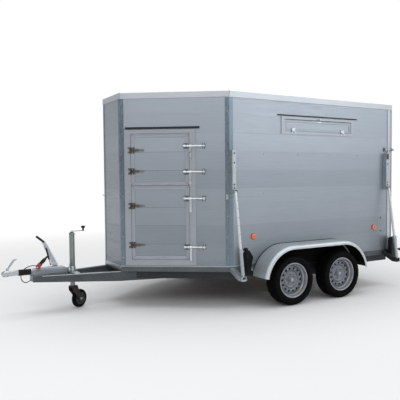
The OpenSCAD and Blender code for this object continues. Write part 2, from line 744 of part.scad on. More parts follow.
module coupling_head() {
    color("gainsboro") place() {
        difference() {
            union() {
                rod_x(head_x - 20, arm_front_x + 150, 0, coupling_z, draw_r);
                slab(-33, 33) polygon([[tip_x + 12, coupling_z - 25], [tip_x, coupling_z - 10],
                    [tip_x, coupling_z + 12], [tip_x + 26, coupling_z + 32],
                    [tip_x + 60, coupling_z + 34], [head_x - 40, coupling_z + 28],
                    [head_x, coupling_z + 28], [head_x, coupling_z - 26], [tip_x + 80, coupling_z - 26]]);
                for (y = [-17, 12.3]) slab(y, y + 4.7) translate([handle_x, handle_z])
                    circle(r = 12);
            }
            // Ball socket, open below
            translate([tip_x + 44, 0, coupling_z]) {
                sphere(r = socket_r, $fn = 64);
                translate([0, 0, -40]) cylinder(r = socket_r, h = 40);
            }
        }
        rod_y(handle_x, -17, 17, handle_z, 3);
    }
}
module coupling_handle() {
    color("lightslategray") place() translate([handle_x, 0, handle_z]) difference() {
        slab(-12, 12) {
            circle(r = 7);
            polygon([[-7, 0], [6, -3], [70, 84], [92, 96], [92, 106], [58, 100]]);
        }
        rod_y(0, -20, 20, 0, 3 + play);
    }
}
module handbrake_lever() {
    x = lever_x;
    z = lever_z;
    color("silver") place() {
        difference() {
            union() {
                slab(-6, 6) polygon([[x - 24, z - 8], [x + 24, z - 8], [x + 16, z + 70], [x - 102, z + 304],
                    [x - 134, z + 296], [x - 52, z + 110]]);
                rod_y(x, -6, 6, z, 28);
            }
            rod_y(x, -20, 20, z, 8 + play);
        }
        translate([x - 118, 0, z + 300]) rotate([0, -50, 0]) translate([0, 0, -8]) cylinder(r = 12, h = 104);
    }
}
module brake_strut() {
    color("black") place() {
        translate([lever_x - 98, -strut_y - 4, lever_z + 244]) rotate([0, 166.5, 0]) {
            cylinder(r = 9, h = 140);
            cylinder(r = 4, h = 205);
        }
        rod_y(lever_x - 98, -strut_y - 13, -6 - gap, lever_z + 244, 5);
    }
}
module parked_plug() {
    color("firebrick") place() translate([lever_x - 192, -46, housing_top + 16.6]) rotate([0, 45, 0]) {
        cylinder(r = 23, h = 42);
        translate([0, 0, 42]) cylinder(r = 19, h = 74);
        translate([0, 0, 116]) cylinder(r = 11, h = 36);
    }
}
// Route of the cable, from the front plate round the bellows and back to the housing
cable_r = 4.5;
cable_route = [[-1896, -38, 375], [-1906, -39, 370], [-1934, -46, 357], [-1956, -54, 353],
    [-1978, -59, 358], [-1996, -62, 372], [-2007, -63, 393], [-2011, -64, 417], [-2009, -64, 442],
    [-2001, -63, 465], [-1987, -62, 485], [-1968, -60, 500], [-1946, -57, 511], [-1922, -52, 518],
    [-1896, -42, 521], [-1872, -26, 519], [-1852, -6, 512], [-1838, 8, 501], [-1832, 14, 490],
    [-1831, 15, 484]];
function unit(v) = v / norm(v);
function ring(p, d) = let (s = unit(cross(d, [0.3, 1, 0.2])), q = cross(unit(d), s))
    [for (k = [0 : 7]) p + cable_r * (cos(45 * k) * s + sin(45 * k) * q)];
module breakaway_cable() {
    n = len(cable_route);
    pts = [for (i = [0 : n - 1]) each ring(cable_route[i],
        cable_route[min(i + 1, n - 1)] - cable_route[max(i - 1, 0)])];
    sides = [for (i = [0 : n - 2], k = [0 : 7]) let (j = (k + 1) % 8)
        [8 * i + k, 8 * i + 8 + k, 8 * i + 8 + j, 8 * i + j]];
    color("black") place() polyhedron(points = pts, faces = concat(sides, [[for (k = [0 : 7]) k]],
        [[for (k = [7 : -1 : 0]) 8 * (n - 1) + k]]));
}

// ---- jockey wheel ----
module jockey_outer() {
    color("gray") place() {
        difference() {
            union() {
                rod_z(jockey_x, 0, jockey_low, jockey_top, jockey_r + 4.5);
                rod_z(jockey_x, 0, sill_z + 14, sill_z + 66, jockey_r + 11);
                block(jockey_x - 60, jockey_x, -9, 9, sill_z + 22, sill_z + 58);
            }
            rod_z(jockey_x, 0, jockey_low - 1, jockey_top - 22, jockey_r + play);
            rod_z(jockey_x, 0, jockey_top - 30, jockey_top + 1, screw_r + play);
            rod_y(jockey_x - 48, -20, 20, sill_z + 40, 6 + 2 * play);
        }
        difference() {
            block(jockey_x - 33, jockey_x + 33, -190, 190, sill_z, sill_z + 14);
            rod_z(jockey_x, 0, sill_z - 1, sill_z + 20, jockey_r + 4.5);
        }
    }
}
module jockey_clamp_lever() {
    x = jockey_x - 48;
    z = sill_z + 40;
    color("lightgray") place() {
        rod_y(x, -52, 22, z, 6);
        rod_y(x, -70, -51, z, 12);
        rod_z(x, -60, z - 22, z + 62, 6);
    }
}
module jockey_inner() {
    color("dimgray") place() difference() {
        rod_z(jockey_x, 0, fork_z + gap, jockey_top - 150, jockey_r);
        rod_z(jockey_x, 0, fork_z - 1, fork_z + 40, 12 + play);
        rod_z(jockey_x, 0, fork_z + 60, jockey_top, screw_r + 1);
    }
}
module on_fork() { translate([jockey_x, 0, 0]) rotate(jockey_turn) children(); }
module jockey_fork() {
    t = 5;
    y = jockey_wheel_w / 2 + 4;
    color("dimgray") place() on_fork() {
        rod_z(0, 0, fork_z - 6, fork_z + 36, 12);
        block(-30, 44, -y - t, y + t, fork_z - 14, fork_z);
        for (s = [-1, 1]) translate([0, s * (y + t / 2), 0]) difference() {
            slab(-t / 2, t / 2) polygon([[-30, fork_z - 14], [-26, fork_z - 52], [jockey_trail - 22, 88],
                [jockey_trail + 8, 82], [jockey_trail + 20, 108], [44, fork_z - 14]]);
            rod_y(jockey_trail, -20, 20, jockey_wheel_r, 8 + play);
        }
        rod_y(jockey_trail, -y - t - 8, y + t + 8, jockey_wheel_r, 8);
        for (s = [-1, 1]) rod_y(jockey_trail, s * (y + t + 4) - 4, s * (y + t + 4) + 4, jockey_wheel_r, 13);
    }
}
module jockey_wheel() {
    w = jockey_wheel_w / 2;
    r = jockey_wheel_r;
    color("black") place() on_fork() translate([jockey_trail, 0, r]) rotate([90, 0, 0])
        rotate_extrude($fn = 64) polygon([[8 + play, -w - 2], [20, -w - 2], [22, -w + 12], [58, -w + 12],
            [62, -w + 2], [r - 12, -w], [r - 3, -w + 8], [r, -w + 20], [r, w - 20], [r - 3, w - 8],
            [r - 12, w], [62, w - 2], [58, w - 12], [22, w - 12], [20, w + 2], [8 + play, w + 2]]);
}
module jockey_crank() {
    z = jockey_top;
    color("gray") place() {
        rod_z(jockey_x, 0, z - 370, z + 14, screw_r);
        block(jockey_x - 12, jockey_x + 139, -11, 11, z + 14, z + 20);
        rod_z(jockey_x + 127, 0, z + 20, z + 68, 15);
    }
}

chassis_frame();
drawbar_arms();
floor_panel();
side_walls();
nose_walls();
corner_posts();
sill_rails();
roof_panel();
roof_trim();
door_frame();
drip_strips();
vent_frames();
prop_brackets();
prop_tubes();
mudguards();
wheel_chocks();
lamps();
overrun_housing();
bellows();
axle_tubes();
jockey_outer();
wall_fittings();
breakaway_cable();
parked_plug();
coupling_head();
coupling_handle();
handbrake_lever();
brake_strut();
jockey_clamp_lever();
jockey_inner();
jockey_fork();
jockey_wheel();
jockey_crank();
door_upper();
door_lower();
door_latch_1();
door_latch_2();
door_latch_3();
door_latch_4();
vent_flap_left();
vent_flap_right();
loading_ramp();
ramp_latch_left();
ramp_latch_right();
axle_arm_front_left();
axle_arm_front_right();
axle_arm_rear_left();
axle_arm_rear_right();
tyre_front_left();
tyre_front_right();
tyre_rear_left();
tyre_rear_right();
rim_front_left();
rim_front_right();
rim_rear_left();
rim_rear_right();
prop_rod_front_left();
prop_rod_front_right();
prop_rod_rear_left();
prop_rod_rear_right();
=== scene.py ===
"""Livestock trailer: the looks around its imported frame.

Metres; +X to the rear, +Y to the trailer's right, +Z up.
"""

import json
import math

import bmesh
import bpy
from mathutils import Matrix, Vector


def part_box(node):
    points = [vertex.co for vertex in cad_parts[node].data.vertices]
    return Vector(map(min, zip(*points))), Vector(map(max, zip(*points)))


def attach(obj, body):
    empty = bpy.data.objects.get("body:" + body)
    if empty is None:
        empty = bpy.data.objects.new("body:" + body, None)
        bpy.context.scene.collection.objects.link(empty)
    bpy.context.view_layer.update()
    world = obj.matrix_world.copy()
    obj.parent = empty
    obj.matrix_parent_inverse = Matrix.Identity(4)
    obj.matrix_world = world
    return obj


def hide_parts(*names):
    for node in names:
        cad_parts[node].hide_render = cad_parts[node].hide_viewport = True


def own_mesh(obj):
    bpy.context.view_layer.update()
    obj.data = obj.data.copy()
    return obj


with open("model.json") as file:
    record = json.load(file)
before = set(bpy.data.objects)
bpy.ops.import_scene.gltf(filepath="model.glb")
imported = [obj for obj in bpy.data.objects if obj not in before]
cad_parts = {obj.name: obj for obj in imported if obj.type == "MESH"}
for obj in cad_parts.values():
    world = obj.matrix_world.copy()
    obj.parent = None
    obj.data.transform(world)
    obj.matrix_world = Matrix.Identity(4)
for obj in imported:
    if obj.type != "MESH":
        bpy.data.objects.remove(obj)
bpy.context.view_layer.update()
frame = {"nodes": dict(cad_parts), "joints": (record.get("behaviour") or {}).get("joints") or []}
scene = bpy.context.scene

# ---- places, taken from the frame ----
JOINTS = {joint["name"]: joint for joint in frame["joints"]}
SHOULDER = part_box("side_walls")[0].x
HALF_W = -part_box("side_walls")[0].y
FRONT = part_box("nose_walls")[0].x - SHOULDER
NOSE_HALF = 0.254
NOSE_ANGLE = math.atan2(HALF_W - NOSE_HALF, -FRONT)
NOSE_RUN = math.hypot(HALF_W - NOSE_HALF, FRONT)
WALL_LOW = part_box("side_walls")[0].z
WALL_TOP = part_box("side_walls")[1].z
WALL_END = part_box("side_walls")[1].x - SHOULDER
PLANK = 0.2
SEAM_LOW = WALL_LOW + 0.039
PLAY = 0.0006

# X runs along a wall from its front end, -Y out of it, Z up
BODY = Matrix.Translation((SHOULDER, 0, 0))
LEFT = BODY @ Matrix.Translation((0, -HALF_W, 0))
FLIP = Matrix.Diagonal((1, -1, 1, 1))
RIGHT = FLIP @ LEFT
NOSE = BODY @ Matrix.Translation((FRONT, -NOSE_HALF, 0)) @ Matrix.Rotation(-NOSE_ANGLE, 4, "Z")
SIDES = {"left": LEFT, "right": RIGHT}


def joint_place(name):
    """Where a hinge turns, from the trailer's nose corner."""
    x, y, z = JOINTS[name]["pos_m"]
    return Vector((x - SHOULDER, y, z))


def shift(x=0.0, y=0.0, z=0.0):
    return Matrix.Translation((x, y, z))


def turn(degrees, axis):
    return Matrix.Rotation(math.radians(degrees), 4, axis)


# ---- camera ----
def add_camera():
    data = bpy.data.cameras.new("camera")
    data.lens = 46.76
    camera = bpy.data.objects.new("camera", data)
    scene.collection.objects.link(camera)
    heading, pitch, roll = 29.692, -2.439, -0.498
    place = shift(-3.214, -5.614, 1.425) @ turn(-heading, "Z")
    camera.matrix_world = place @ turn(90 + pitch, "X") @ turn(roll, "Z")
    scene.camera = camera


add_camera()


# ---- materials ----
class Finish:
    """One procedural material, built node by node on the row frame's own coordinates."""

    def __init__(self, name, metallic, roughness, specular=0.5):
        self.material = bpy.data.materials.new(name)
        self.material.use_nodes = True
        self.tree = self.material.node_tree
        self.shader = self.tree.nodes["Principled BSDF"]
        self.shader.inputs["Metallic"].default_value = metallic
        self.shader.inputs["Roughness"].default_value = roughness
        self.shader.inputs["Specular IOR Level"].default_value = specular
        self.place = self.node("ShaderNodeTexCoord").outputs["Object"]

    def node(self, kind, inputs=(), **settings):
        node = self.tree.nodes.new(kind)
        for key, value in settings.items():
            setattr(node, key, value)
        for key, value in dict(inputs).items():
            if isinstance(value, bpy.types.NodeSocket):
                self.tree.links.new(value, node.inputs[key])
            else:
                node.inputs[key].default_value = value
        return node

    def stretched(self, stretch):
        return self.node("ShaderNodeMapping", {"Vector": self.place, "Scale": stretch}).outputs["Vector"]

    def noise(self, scale, stretch=(1, 1, 1), detail=4.0):
        vector = self.stretched(stretch)
        keys = {"Vector": vector, "Scale": scale, "Detail": detail}
        return self.node("ShaderNodeTexNoise", keys).outputs["Fac"]

    def math(self, operation, a, b=0.0):
        return self.node("ShaderNodeMath", {0: a, 1: b}, operation=operation).outputs[0]

    def ramp(self, value, low, high, out_low=0.0, out_high=1.0):
        keys = {"Value": value, "From Min": low, "From Max": high, "To Min": out_low, "To Max": out_high}
        return self.node("ShaderNodeMapRange", keys).outputs["Result"]

    def blend(self, factor, a, b):
        first, second = ((*c, 1) if isinstance(c, tuple) else c for c in (a, b))
        return self.node("ShaderNodeMix", {0: factor, 6: first, 7: second}, data_type="RGBA").outputs[2]

    def paint(self, colour):
        self.tree.links.new(colour, self.shader.inputs["Base Color"])

    def roughen(self, value, low, high):
        self.tree.links.new(self.ramp(value, 0.3, 0.7, low, high), self.shader.inputs["Roughness"])

    def bump(self, height, strength, distance):
        keys = {"Height": height, "Strength": strength, "Distance": distance}
        self.tree.links.new(self.node("ShaderNodeBump", keys).outputs["Normal"], self.shader.inputs["Normal"])

    def height(self):
        return self.node("ShaderNodeSeparateXYZ", {"Vector": self.place}).outputs["Z"]


def planks_finish():
    """Mill-finish aluminium planks: a tone for each plank, drawn streaks along them and painted shade, darker low
    down and mottled.
    """
    f = Finish("planks", 0.75, 0.42)
    row = f.math("FLOOR", f.math("DIVIDE", f.math("SUBTRACT", f.height(), SEAM_LOW), PLANK))
    tone = f.node("ShaderNodeTexWhiteNoise", {"W": row}, noise_dimensions="1D").outputs["Value"]
    streaks = f.noise(3.0, (0.5, 0.5, 45), 6)
    clouds = f.noise(1.6)
    shade = f.math("ADD", f.math("MULTIPLY", tone, 0.34), f.math("MULTIPLY", streaks, 0.5))
    shade = f.math("ADD", shade, f.math("MULTIPLY", clouds, 0.3))
    metal = f.blend(f.ramp(shade, 0.25, 0.85), (0.318, 0.357, 0.405), (0.402, 0.442, 0.498))
    # painted shade: the planks darken towards the bottom of the wall, mottled by noise
    dust_and_painted_shade = f.math("MULTIPLY", f.ramp(f.height(), 1.9, WALL_LOW), f.ramp(f.noise(2.5), 0.1, 0.9, 0.75, 1.0))
    f.paint(f.blend(f.math("MULTIPLY", dust_and_painted_shade, 0.48), metal, (0.15, 0.163, 0.18)))
    f.roughen(f.noise(5.0, (1, 1, 20)), 0.34, 0.5)
    f.bump(streaks, 0.12, 0.001)
    return f.material


def galvanised_finish(name, dark, light, rough=0.42, metallic=0.85):
    """Hot-dip galvanised steel: crystals of zinc, clouded, with a faint runny surface."""
    f = Finish(name, metallic, rough)
    crystals = f.node("ShaderNodeTexVoronoi", {"Vector": f.place, "Scale": 95.0, "Randomness": 1.0})
    grey = f.node("ShaderNodeRGBToBW", {"Color": crystals.outputs["Color"]}).outputs[0]
    shade = f.math("ADD", f.math("MULTIPLY", grey, 0.5), f.math("MULTIPLY", f.noise(5.0), 0.6))
    f.paint(f.blend(f.ramp(shade, 0.25, 0.8), dark, light))
    f.roughen(grey, rough - 0.05, rough + 0.06)
    f.bump(f.noise(22.0), 0.08, 0.0015)
    return f.material


def satin_finish(name, dark, light, metallic, rough, grain=(1, 1, 1), scale=18.0, depth=0.05, specular=0.5):
    """Satin surface with fine grain along one way and faint blotches."""
    f = Finish(name, metallic, rough, specular)
    grains = f.noise(scale, grain, 6)
    shade = f.math("ADD", f.math("MULTIPLY", grains, 0.6), f.math("MULTIPLY", f.noise(3.5), 0.4))
    f.paint(f.blend(f.ramp(shade, 0.3, 0.7), dark, light))
    f.roughen(grains, max(rough - 0.08, 0.03), min(rough + 0.08, 1.0))
    f.bump(grains, depth * 4, 0.0008)
    return f.material


def plywood_finish():
    """Film-faced plywood with a hexagonal anti-slip press."""
    f = Finish("plywood", 0.0, 0.55)
    cells = f.node("ShaderNodeTexVoronoi", {"Vector": f.place, "Scale": 120.0, "Randomness": 0.1})
    shade = f.noise(6.0, (1, 6, 1), 6)
    f.paint(f.blend(f.ramp(shade, 0.3, 0.7), (0.07, 0.04, 0.025), (0.14, 0.085, 0.05)))
    f.bump(cells.outputs["Distance"], 0.5, 0.002)
    return f.material


def lens_finish(name, dark, light, cell=190.0):
    """Moulded lens plastic over small reflecting prisms."""
    f = Finish(name, 0.0, 0.12, 0.7)
    cells = f.node("ShaderNodeTexVoronoi", {"Vector": f.place, "Scale": cell, "Randomness": 0.05})
    f.paint(f.blend(f.ramp(cells.outputs["Distance"], 0.1, 0.6), light, dark))
    f.shader.inputs["Coat Weight"].default_value = 0.6
    f.shader.inputs["Coat Roughness"].default_value = 0.05
    f.bump(cells.outputs["Distance"], 0.25, 0.001)
    return f.material


def tyre_finish():
    """Tyre rubber: dark, with a little dust in faint blotches."""
    f = Finish("tyre", 0.0, 0.72, 0.07)
    dust_and_painted_shade = f.ramp(f.noise(14.0, (1, 1, 1), 8), 0.4, 0.75)
    f.paint(f.blend(f.math("MULTIPLY", dust_and_painted_shade, 0.4), (0.0028, 0.0028, 0.0033), (0.008, 0.0078, 0.0076)))
    f.roughen(f.noise(30.0), 0.62, 0.82)
    f.bump(f.noise(240.0), 0.12, 0.0008)
    return f.material


MAT = {"planks": planks_finish(), "plywood": plywood_finish(), "tyre": tyre_finish()}
# dark and light tone, then roughness and metal
for name, look in {
    "galvanised": ((0.33, 0.385, 0.42), (0.52, 0.57, 0.6)),
    # painted shade: a dark copy of the galvanised steel for the drawbar arms, which lie in the body's shade
    "drawbar_steel": ((0.062, 0.07, 0.076), (0.105, 0.113, 0.12), 0.5, 0.6),
    "guard_steel": ((0.36, 0.415, 0.435), (0.47, 0.525, 0.545), 0.42, 0.35),
    "sill_steel": ((0.085, 0.092, 0.1), (0.15, 0.16, 0.172), 0.45, 0.7),
    # painted shade: a near-black copy of the galvanised steel for the frame and fittings that lie in shade under
    # the body
    "under_steel_painted_shade": ((0.018, 0.02, 0.021), (0.04, 0.043, 0.045), 0.55, 0.4),
    "housing_steel": ((0.17, 0.195, 0.225), (0.27, 0.3, 0.335), 0.4, 0.8),
    "jockey_steel": ((0.2, 0.235, 0.225), (0.31, 0.35, 0.335), 0.46),
}.items():
    MAT[name] = galvanised_finish(name, *look)
# dark and light tone of each lens
for name, look in {
    "amber": ((0.75, 0.09, 0.01), (0.98, 0.25, 0.02)),
    "red_lens": ((0.25, 0.008, 0.008), (0.55, 0.02, 0.015)),
    "clear_lens": ((0.55, 0.56, 0.56), (0.85, 0.86, 0.86)),
}.items():
    MAT[name] = lens_finish(name, *look)
# dark and light tone, metal, roughness, then what differs from the plain grain
for name, look, grain in (
    ("post_steel", ((0.125, 0.168, 0.205), (0.225, 0.275, 0.325), 0.92, 0.3),
        dict(grain=(14, 14, 0.7), depth=0.01)),
    # painted highlight on the mudguard's rolled lip, a paler copy of the guard's steel; also the plain pale steel
    # of the lever's edges and the prop rods
    ("guard_lip", ((0.6, 0.66, 0.69), (0.74, 0.79, 0.82), 0.45, 0.36), dict(scale=12.0, depth=0.01)),
    ("trim", ((0.46, 0.49, 0.53), (0.55, 0.58, 0.62), 0.6, 0.36), dict(grain=(0.4, 0.4, 30))),
    ("leaf_trim", ((0.335, 0.36, 0.405), (0.42, 0.445, 0.49), 0.75, 0.4), dict(grain=(0.6, 0.6, 12))),
    ("roof_sheet", ((0.6, 0.61, 0.6), (0.68, 0.69, 0.68), 0.0, 0.5), dict()),
    ("black_rubber", ((0.008, 0.008, 0.009), (0.02, 0.02, 0.021), 0.0, 0.6), dict(scale=60.0, specular=0.3)),
    ("black_plastic", ((0.006, 0.006, 0.007), (0.015, 0.015, 0.016), 0.0, 0.45), dict(scale=140.0, specular=0.3)),
    ("chock_plastic", ((0.004, 0.004, 0.0045), (0.01, 0.01, 0.011), 0.0, 0.6), dict(scale=80.0, specular=0.2)),
    ("chock_grip_grey", ((0.06, 0.062, 0.066), (0.11, 0.115, 0.12), 0.0, 0.5), dict(scale=80.0)),
    ("zinc", ((0.42, 0.445, 0.475), (0.6, 0.625, 0.65), 1.0, 0.27), dict(scale=40.0, depth=0.03)),
    ("plate_steel", ((0.1, 0.115, 0.12), (0.2, 0.22, 0.23), 0.8, 0.35), dict(scale=40.0, depth=0.01)),
    ("bright_zinc", ((0.6, 0.63, 0.66), (0.78, 0.8, 0.82), 1.0, 0.2), dict(scale=40.0, depth=0.03)),
    ("bronze", ((0.05, 0.045, 0.038), (0.13, 0.115, 0.1), 0.8, 0.42), dict(scale=50.0)),
    ("strap_steel", ((0.13, 0.115, 0.095), (0.28, 0.255, 0.22), 0.85, 0.38), dict(scale=50.0)),
    ("rim_paint", ((0.165, 0.18, 0.2), (0.225, 0.242, 0.265), 0.6, 0.38), dict(scale=14.0, depth=0.002)),
    # painted highlight: a lighter copy of the rim paint for the wheel's raised lips and edges and the hub cap
    ("rim_paint_highlight", ((0.3, 0.32, 0.35), (0.38, 0.4, 0.43), 0.6, 0.38), dict(scale=14.0, depth=0.002)),
    ("jockey_hub", ((0.03, 0.034, 0.034), (0.07, 0.076, 0.075), 0.3, 0.42), dict(scale=60.0)),
    ("fork_brown", ((0.022, 0.017, 0.013), (0.065, 0.05, 0.038), 0.35, 0.5), dict(scale=70.0)),
    ("cast_black", ((0.02, 0.025, 0.024), (0.06, 0.07, 0.066), 0.35, 0.5), dict(scale=70.0)),
    ("dark_red", ((0.055, 0.012, 0.012), (0.13, 0.03, 0.028), 0.0, 0.3), dict(scale=90.0)),
    ("red_plastic", ((0.28, 0.02, 0.015), (0.42, 0.04, 0.03), 0.0, 0.38), dict(scale=90.0)),
):
    MAT[name] = satin_finish(name, *look, **grain)


# ---- mesh tools ----
def crease(shape, degrees=32):
    """Shades a shape smooth, but for edges that turn more than that."""
    for face in shape.faces:
        face.smooth = True
    for edge in shape.edges:
        if edge.calc_face_angle(0) > math.radians(degrees):
            edge.smooth = False
    return shape


def soften(shape, width, segments=2):
    """Rounds the sharp edges of a closed shape; its flat faces stay flat."""
    edges = [e for e in shape.edges if e.is_manifold and e.calc_face_angle(0) > math.radians(28)]
    for face in shape.faces:
        face.smooth = len(face.verts) == 4 and any(e not in edges for e in face.edges)
    if width and edges:
        made = bmesh.ops.bevel(shape, geom=edges, offset=width, segments=segments, profile=0.5,
            affect="EDGES", clamp_overlap=True)
        for face in made["faces"]:
            face.smooth = True
    return shape


def block(x0, x1, y0, y1, z0, z1, soft=0.001):
    shape = bmesh.new()
    bmesh.ops.create_cube(shape, size=1.0)
    middle = shift((x0 + x1) / 2, (y0 + y1) / 2, (z0 + z1) / 2)
    shape.transform(middle @ Matrix.Diagonal((x1 - x0, y1 - y0, z1 - z0, 1)))
    return soften(shape, soft)


def slab(outline, y0, y1, soft=0.0008):
    """An outline in X and Z, given a thickness from y0 to y1."""
    shape = bmesh.new()
    near = [shape.verts.new((x, y0, z)) for x, z in outline]
    far = [shape.verts.new((x, y1, z)) for x, z in outline]
    shape.faces.new(near)
    shape.faces.new(far[::-1])
    for k in range(len(near)):
        j = (k + 1) % len(near)
        shape.faces.new((near[j], near[k], far[k], far[j]))
    bmesh.ops.recalc_face_normals(shape, faces=shape.faces)
    return soften(shape, soft)


def side_slab(outline, s, a, b, soft=0.0008):
    """A slab between a and b out from the middle, on the side that s says."""
    y0, y1 = sorted((s * a, s * b))
    return slab(outline, y0, y1, soft)


def upright(outline, z0, z1, soft=0.001):
    """An outline in X and Y, given a height from z0 to z1."""
    shape = slab([(x, -y) for x, y in outline], z0, z1, soft)
    shape.transform(turn(90, "X"))
    return shape


def bridge(shape, a, b):
    """Faces between two rings of points; either ring may be a single point."""
    for k in range(max(len(a), len(b))):
        corners = [a[k % len(a)], a[(k + 1) % len(a)], b[(k + 1) % len(b)], b[k % len(b)]]
        corners = list(dict.fromkeys(corners))
        if len(corners) > 2:
            shape.faces.new(corners)


def lathe(profile, segments=40, closed=False):
    """Turns (radius, height) points round Z; a closed profile is a ring."""
    shape = bmesh.new()
    rings = []
    for r, z in profile:
        count = segments if r > 1e-6 else 1
        angles = [2 * math.pi * k / count for k in range(count)]
        rings.append([shape.verts.new((r * math.cos(a), r * math.sin(a), z)) for a in angles])
    for a, b in zip(rings, rings[1:] + rings[:1] if closed else rings[1:]):
        bridge(shape, a, b)
    bmesh.ops.recalc_face_normals(shape, faces=shape.faces)
    return crease(shape)


def rod(r, length, soft=0.0008, segments=32):
    """A round bar up Z with rounded ends."""
    return lathe([(0, 0), (r - soft, 0), (r, soft), (r, length - soft), (r - soft, length), (0, length)],
        segments)


def disc(r, height, segments):
    """A flat round plate up Z with sharp edges."""
    return lathe([(0, 0), (r, 0), (r, height), (0, height)], segments)


def sweep(route, section, closed=False):
    """Carries a closed section of (side, up) points along a route of (point, side, up) frames."""
    shape = bmesh.new()
    rings = [[shape.verts.new(p + side * u + up * v) for u, v in section] for p, side, up in route]
    for a, b in zip(rings, rings[1:] + rings[:1] if closed else rings[1:]):
        bridge(shape, a, b)
    if not closed:
        shape.faces.new(rings[0])
        shape.faces.new(rings[-1])
    bmesh.ops.recalc_face_normals(shape, faces=shape.faces)
    return crease(shape, 40)


def arc(x, z, r, start, end, steps=12):
    angles = [math.radians(start + (end - start) * k / steps) for k in range(steps + 1)]
    return [(x + r * math.cos(a), z + r * math.sin(a)) for a in angles]


def mirrored(half, x=1, y=-1):
    """Half an outline and its mirror image, which runs back to the start."""
    return half + [(x * u, y * v) for u, v in reversed(half)]


def circle(r, sides=12):
    return [(r * math.cos(2 * math.pi * k / sides), r * math.sin(2 * math.pi * k / sides))
        for k in range(sides)]


def tube(points, r, sides=12, closed=False):
    """A round tube through points, turned as little as it can be on the way."""
    points = [Vector(p) for p in points]
    count = len(points)
    route, side = [], None
    for k, p in enumerate(points):
        ahead = points[(k + 1) % count] if closed else points[min(k + 1, count - 1)]
        behind = points[k - 1] if closed else points[max(k - 1, 0)]
        along = (ahead - behind).normalized()
        if side is None:
            side = along.orthogonal()
        side = (side - along * side.dot(along)).normalized()
        route.append((p, side, along.cross(side)))
    return sweep(route, circle(r, sides), closed)


def smooth_line(points, steps=6):
    """A Catmull-Rom line through points."""
    points = [Vector(p) for p in points]
    ends = [points[0] * 2 - points[1]] + points + [points[-1] * 2 - points[-2]]
    line = []
    for a, b, c, d in zip(ends, ends[1:], ends[2:], ends[3:]):
        for k in range(steps):
            t = k / steps
            line.append(0.5 * (2 * b + (c - a) * t + (2 * a - 5 * b + 4 * c - d) * t**2
                + (3 * b - a - 3 * c + d) * t**3))
    return line + [points[-1]]


def loft(stations, sides=28):
    """A body along X through rounded sections: (x, half width, half height, middle height, squareness)."""
    shape = bmesh.new()
    rings = []
    for x, wide, high, z, square in stations:
        ring = []
        for k in range(sides):
            c, s = math.cos(2 * math.pi * k / sides), math.sin(2 * math.pi * k / sides)
            y = math.copysign(abs(c) ** (2 / square), c) * wide
            ring.append(shape.verts.new((x, y, z + math.copysign(abs(s) ** (2 / square), s) * high)))
        rings.append(ring)
    for a, b in zip(rings, rings[1:]):
        bridge(shape, a, b)
    shape.faces.new(rings[0])
    shape.faces.new(rings[-1])
    bmesh.ops.recalc_face_normals(shape, faces=shape.faces)
    return crease(shape, 45)


def picture_frame(x0, x1, z0, z1, profile):
    """A mitred frame: profile is (distance in from the edge, y) points, open at the back."""
    shape = bmesh.new()
    rings = []
    for x, z, sx, sz in ((x0, z0, 1, 1), (x1, z0, -1, 1), (x1, z1, -1, -1), (x0, z1, 1, -1)):
        rings.append([shape.verts.new((x + sx * u, y, z + sz * u)) for u, y in profile])
    for a, b in zip(rings, rings[1:] + rings[:1]):
        bridge(shape, a, b)
    bmesh.ops.recalc_face_normals(shape, faces=shape.faces)
    return crease(shape)


def bolt_head(r, washer=True):
    """A hexagon head up Z on its washer, with the thread's end."""
    ring = [(0, 0), (r * 1.35, 0), (r * 1.35, r * 0.16), (0, r * 0.16)]
    shape = lathe(ring if washer else [(0, 0), (r, 0), (0, r * 0.1)], 20)
    head = lathe([(0, r * 0.14), (r * 0.98, r * 0.14), (r, r * 0.2), (r, r * 0.68), (r * 0.86, r * 0.8),
        (0, r * 0.8)], 6)
    merge(shape, head)
    return shape


def merge(shape, other):
    """Adds other's faces to shape."""
    mesh = bpy.data.meshes.new("merge")
    other.to_mesh(mesh)
    other.free()
    shape.from_mesh(mesh)
    bpy.data.meshes.remove(mesh)
    return shape


def knuckle(bore, r, length, segments=24):
    """A hinge's round barrel up Z, bored through, with broken edges."""
    edge, step = 0.0005, 0.0006
    rim = [(r - edge, 0), (r, step), (r, length - step), (r - edge, length)]
    return lathe([(bore, 0), *rim, (bore, length)], segments, closed=True)


def dome(r, h, segments=20):
    """A domed rivet head up Z."""
    arc = [(r * math.cos(a), h * math.sin(a)) for a in (0, 0.35, 0.7, 1.05, 1.35)]
    return lathe([(0, -0.0005), (r, -0.0005)] + arc + [(0, h)], segments)


OUT = turn(90, "X")  # lays a shape's Z along -Y, out of a wall
ALONG = turn(90, "Y")  # lays a shape's Z along +X


class Piece:
    """One visible piece: shapes gathered in one mesh, each with its own material."""

    def __init__(self, name, body, slot, *replaces, at=Matrix()):
        self.name, self.body, self.slot, self.nodes, self.at = name, body, slot, replaces, at
        self.shape = bmesh.new()
        self.finishes = []

    def add(self, finish, shape, at=None):
        if finish not in self.finishes:
            self.finishes.append(finish)
        for face in shape.faces:
            face.material_index = self.finishes.index(finish)
        place = self.at @ at if at else self.at
        shape.transform(place)
        if place.determinant() < 0:
            bmesh.ops.reverse_faces(shape, faces=shape.faces)
        merge(self.shape, shape)

    def mesh(self):
        mesh = bpy.data.meshes.new(self.name)
        self.shape.to_mesh(mesh)
        self.shape.free()
        for finish in self.finishes:
            mesh.materials.append(MAT[finish])
        return mesh

    def done(self):
        return show(self.name, self.mesh(), self.body, self.nodes)


def once(node, first):
    """The node that several pieces replace together, named by the first of them only."""
    return [node] if first else []


def show(name, mesh, body, nodes=(), at=Matrix()):
    piece = bpy.data.objects.new(name, mesh)
    scene.collection.objects.link(piece)
    piece.matrix_world = at
    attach(piece, body)
    if nodes:
        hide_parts(*nodes)
    return piece


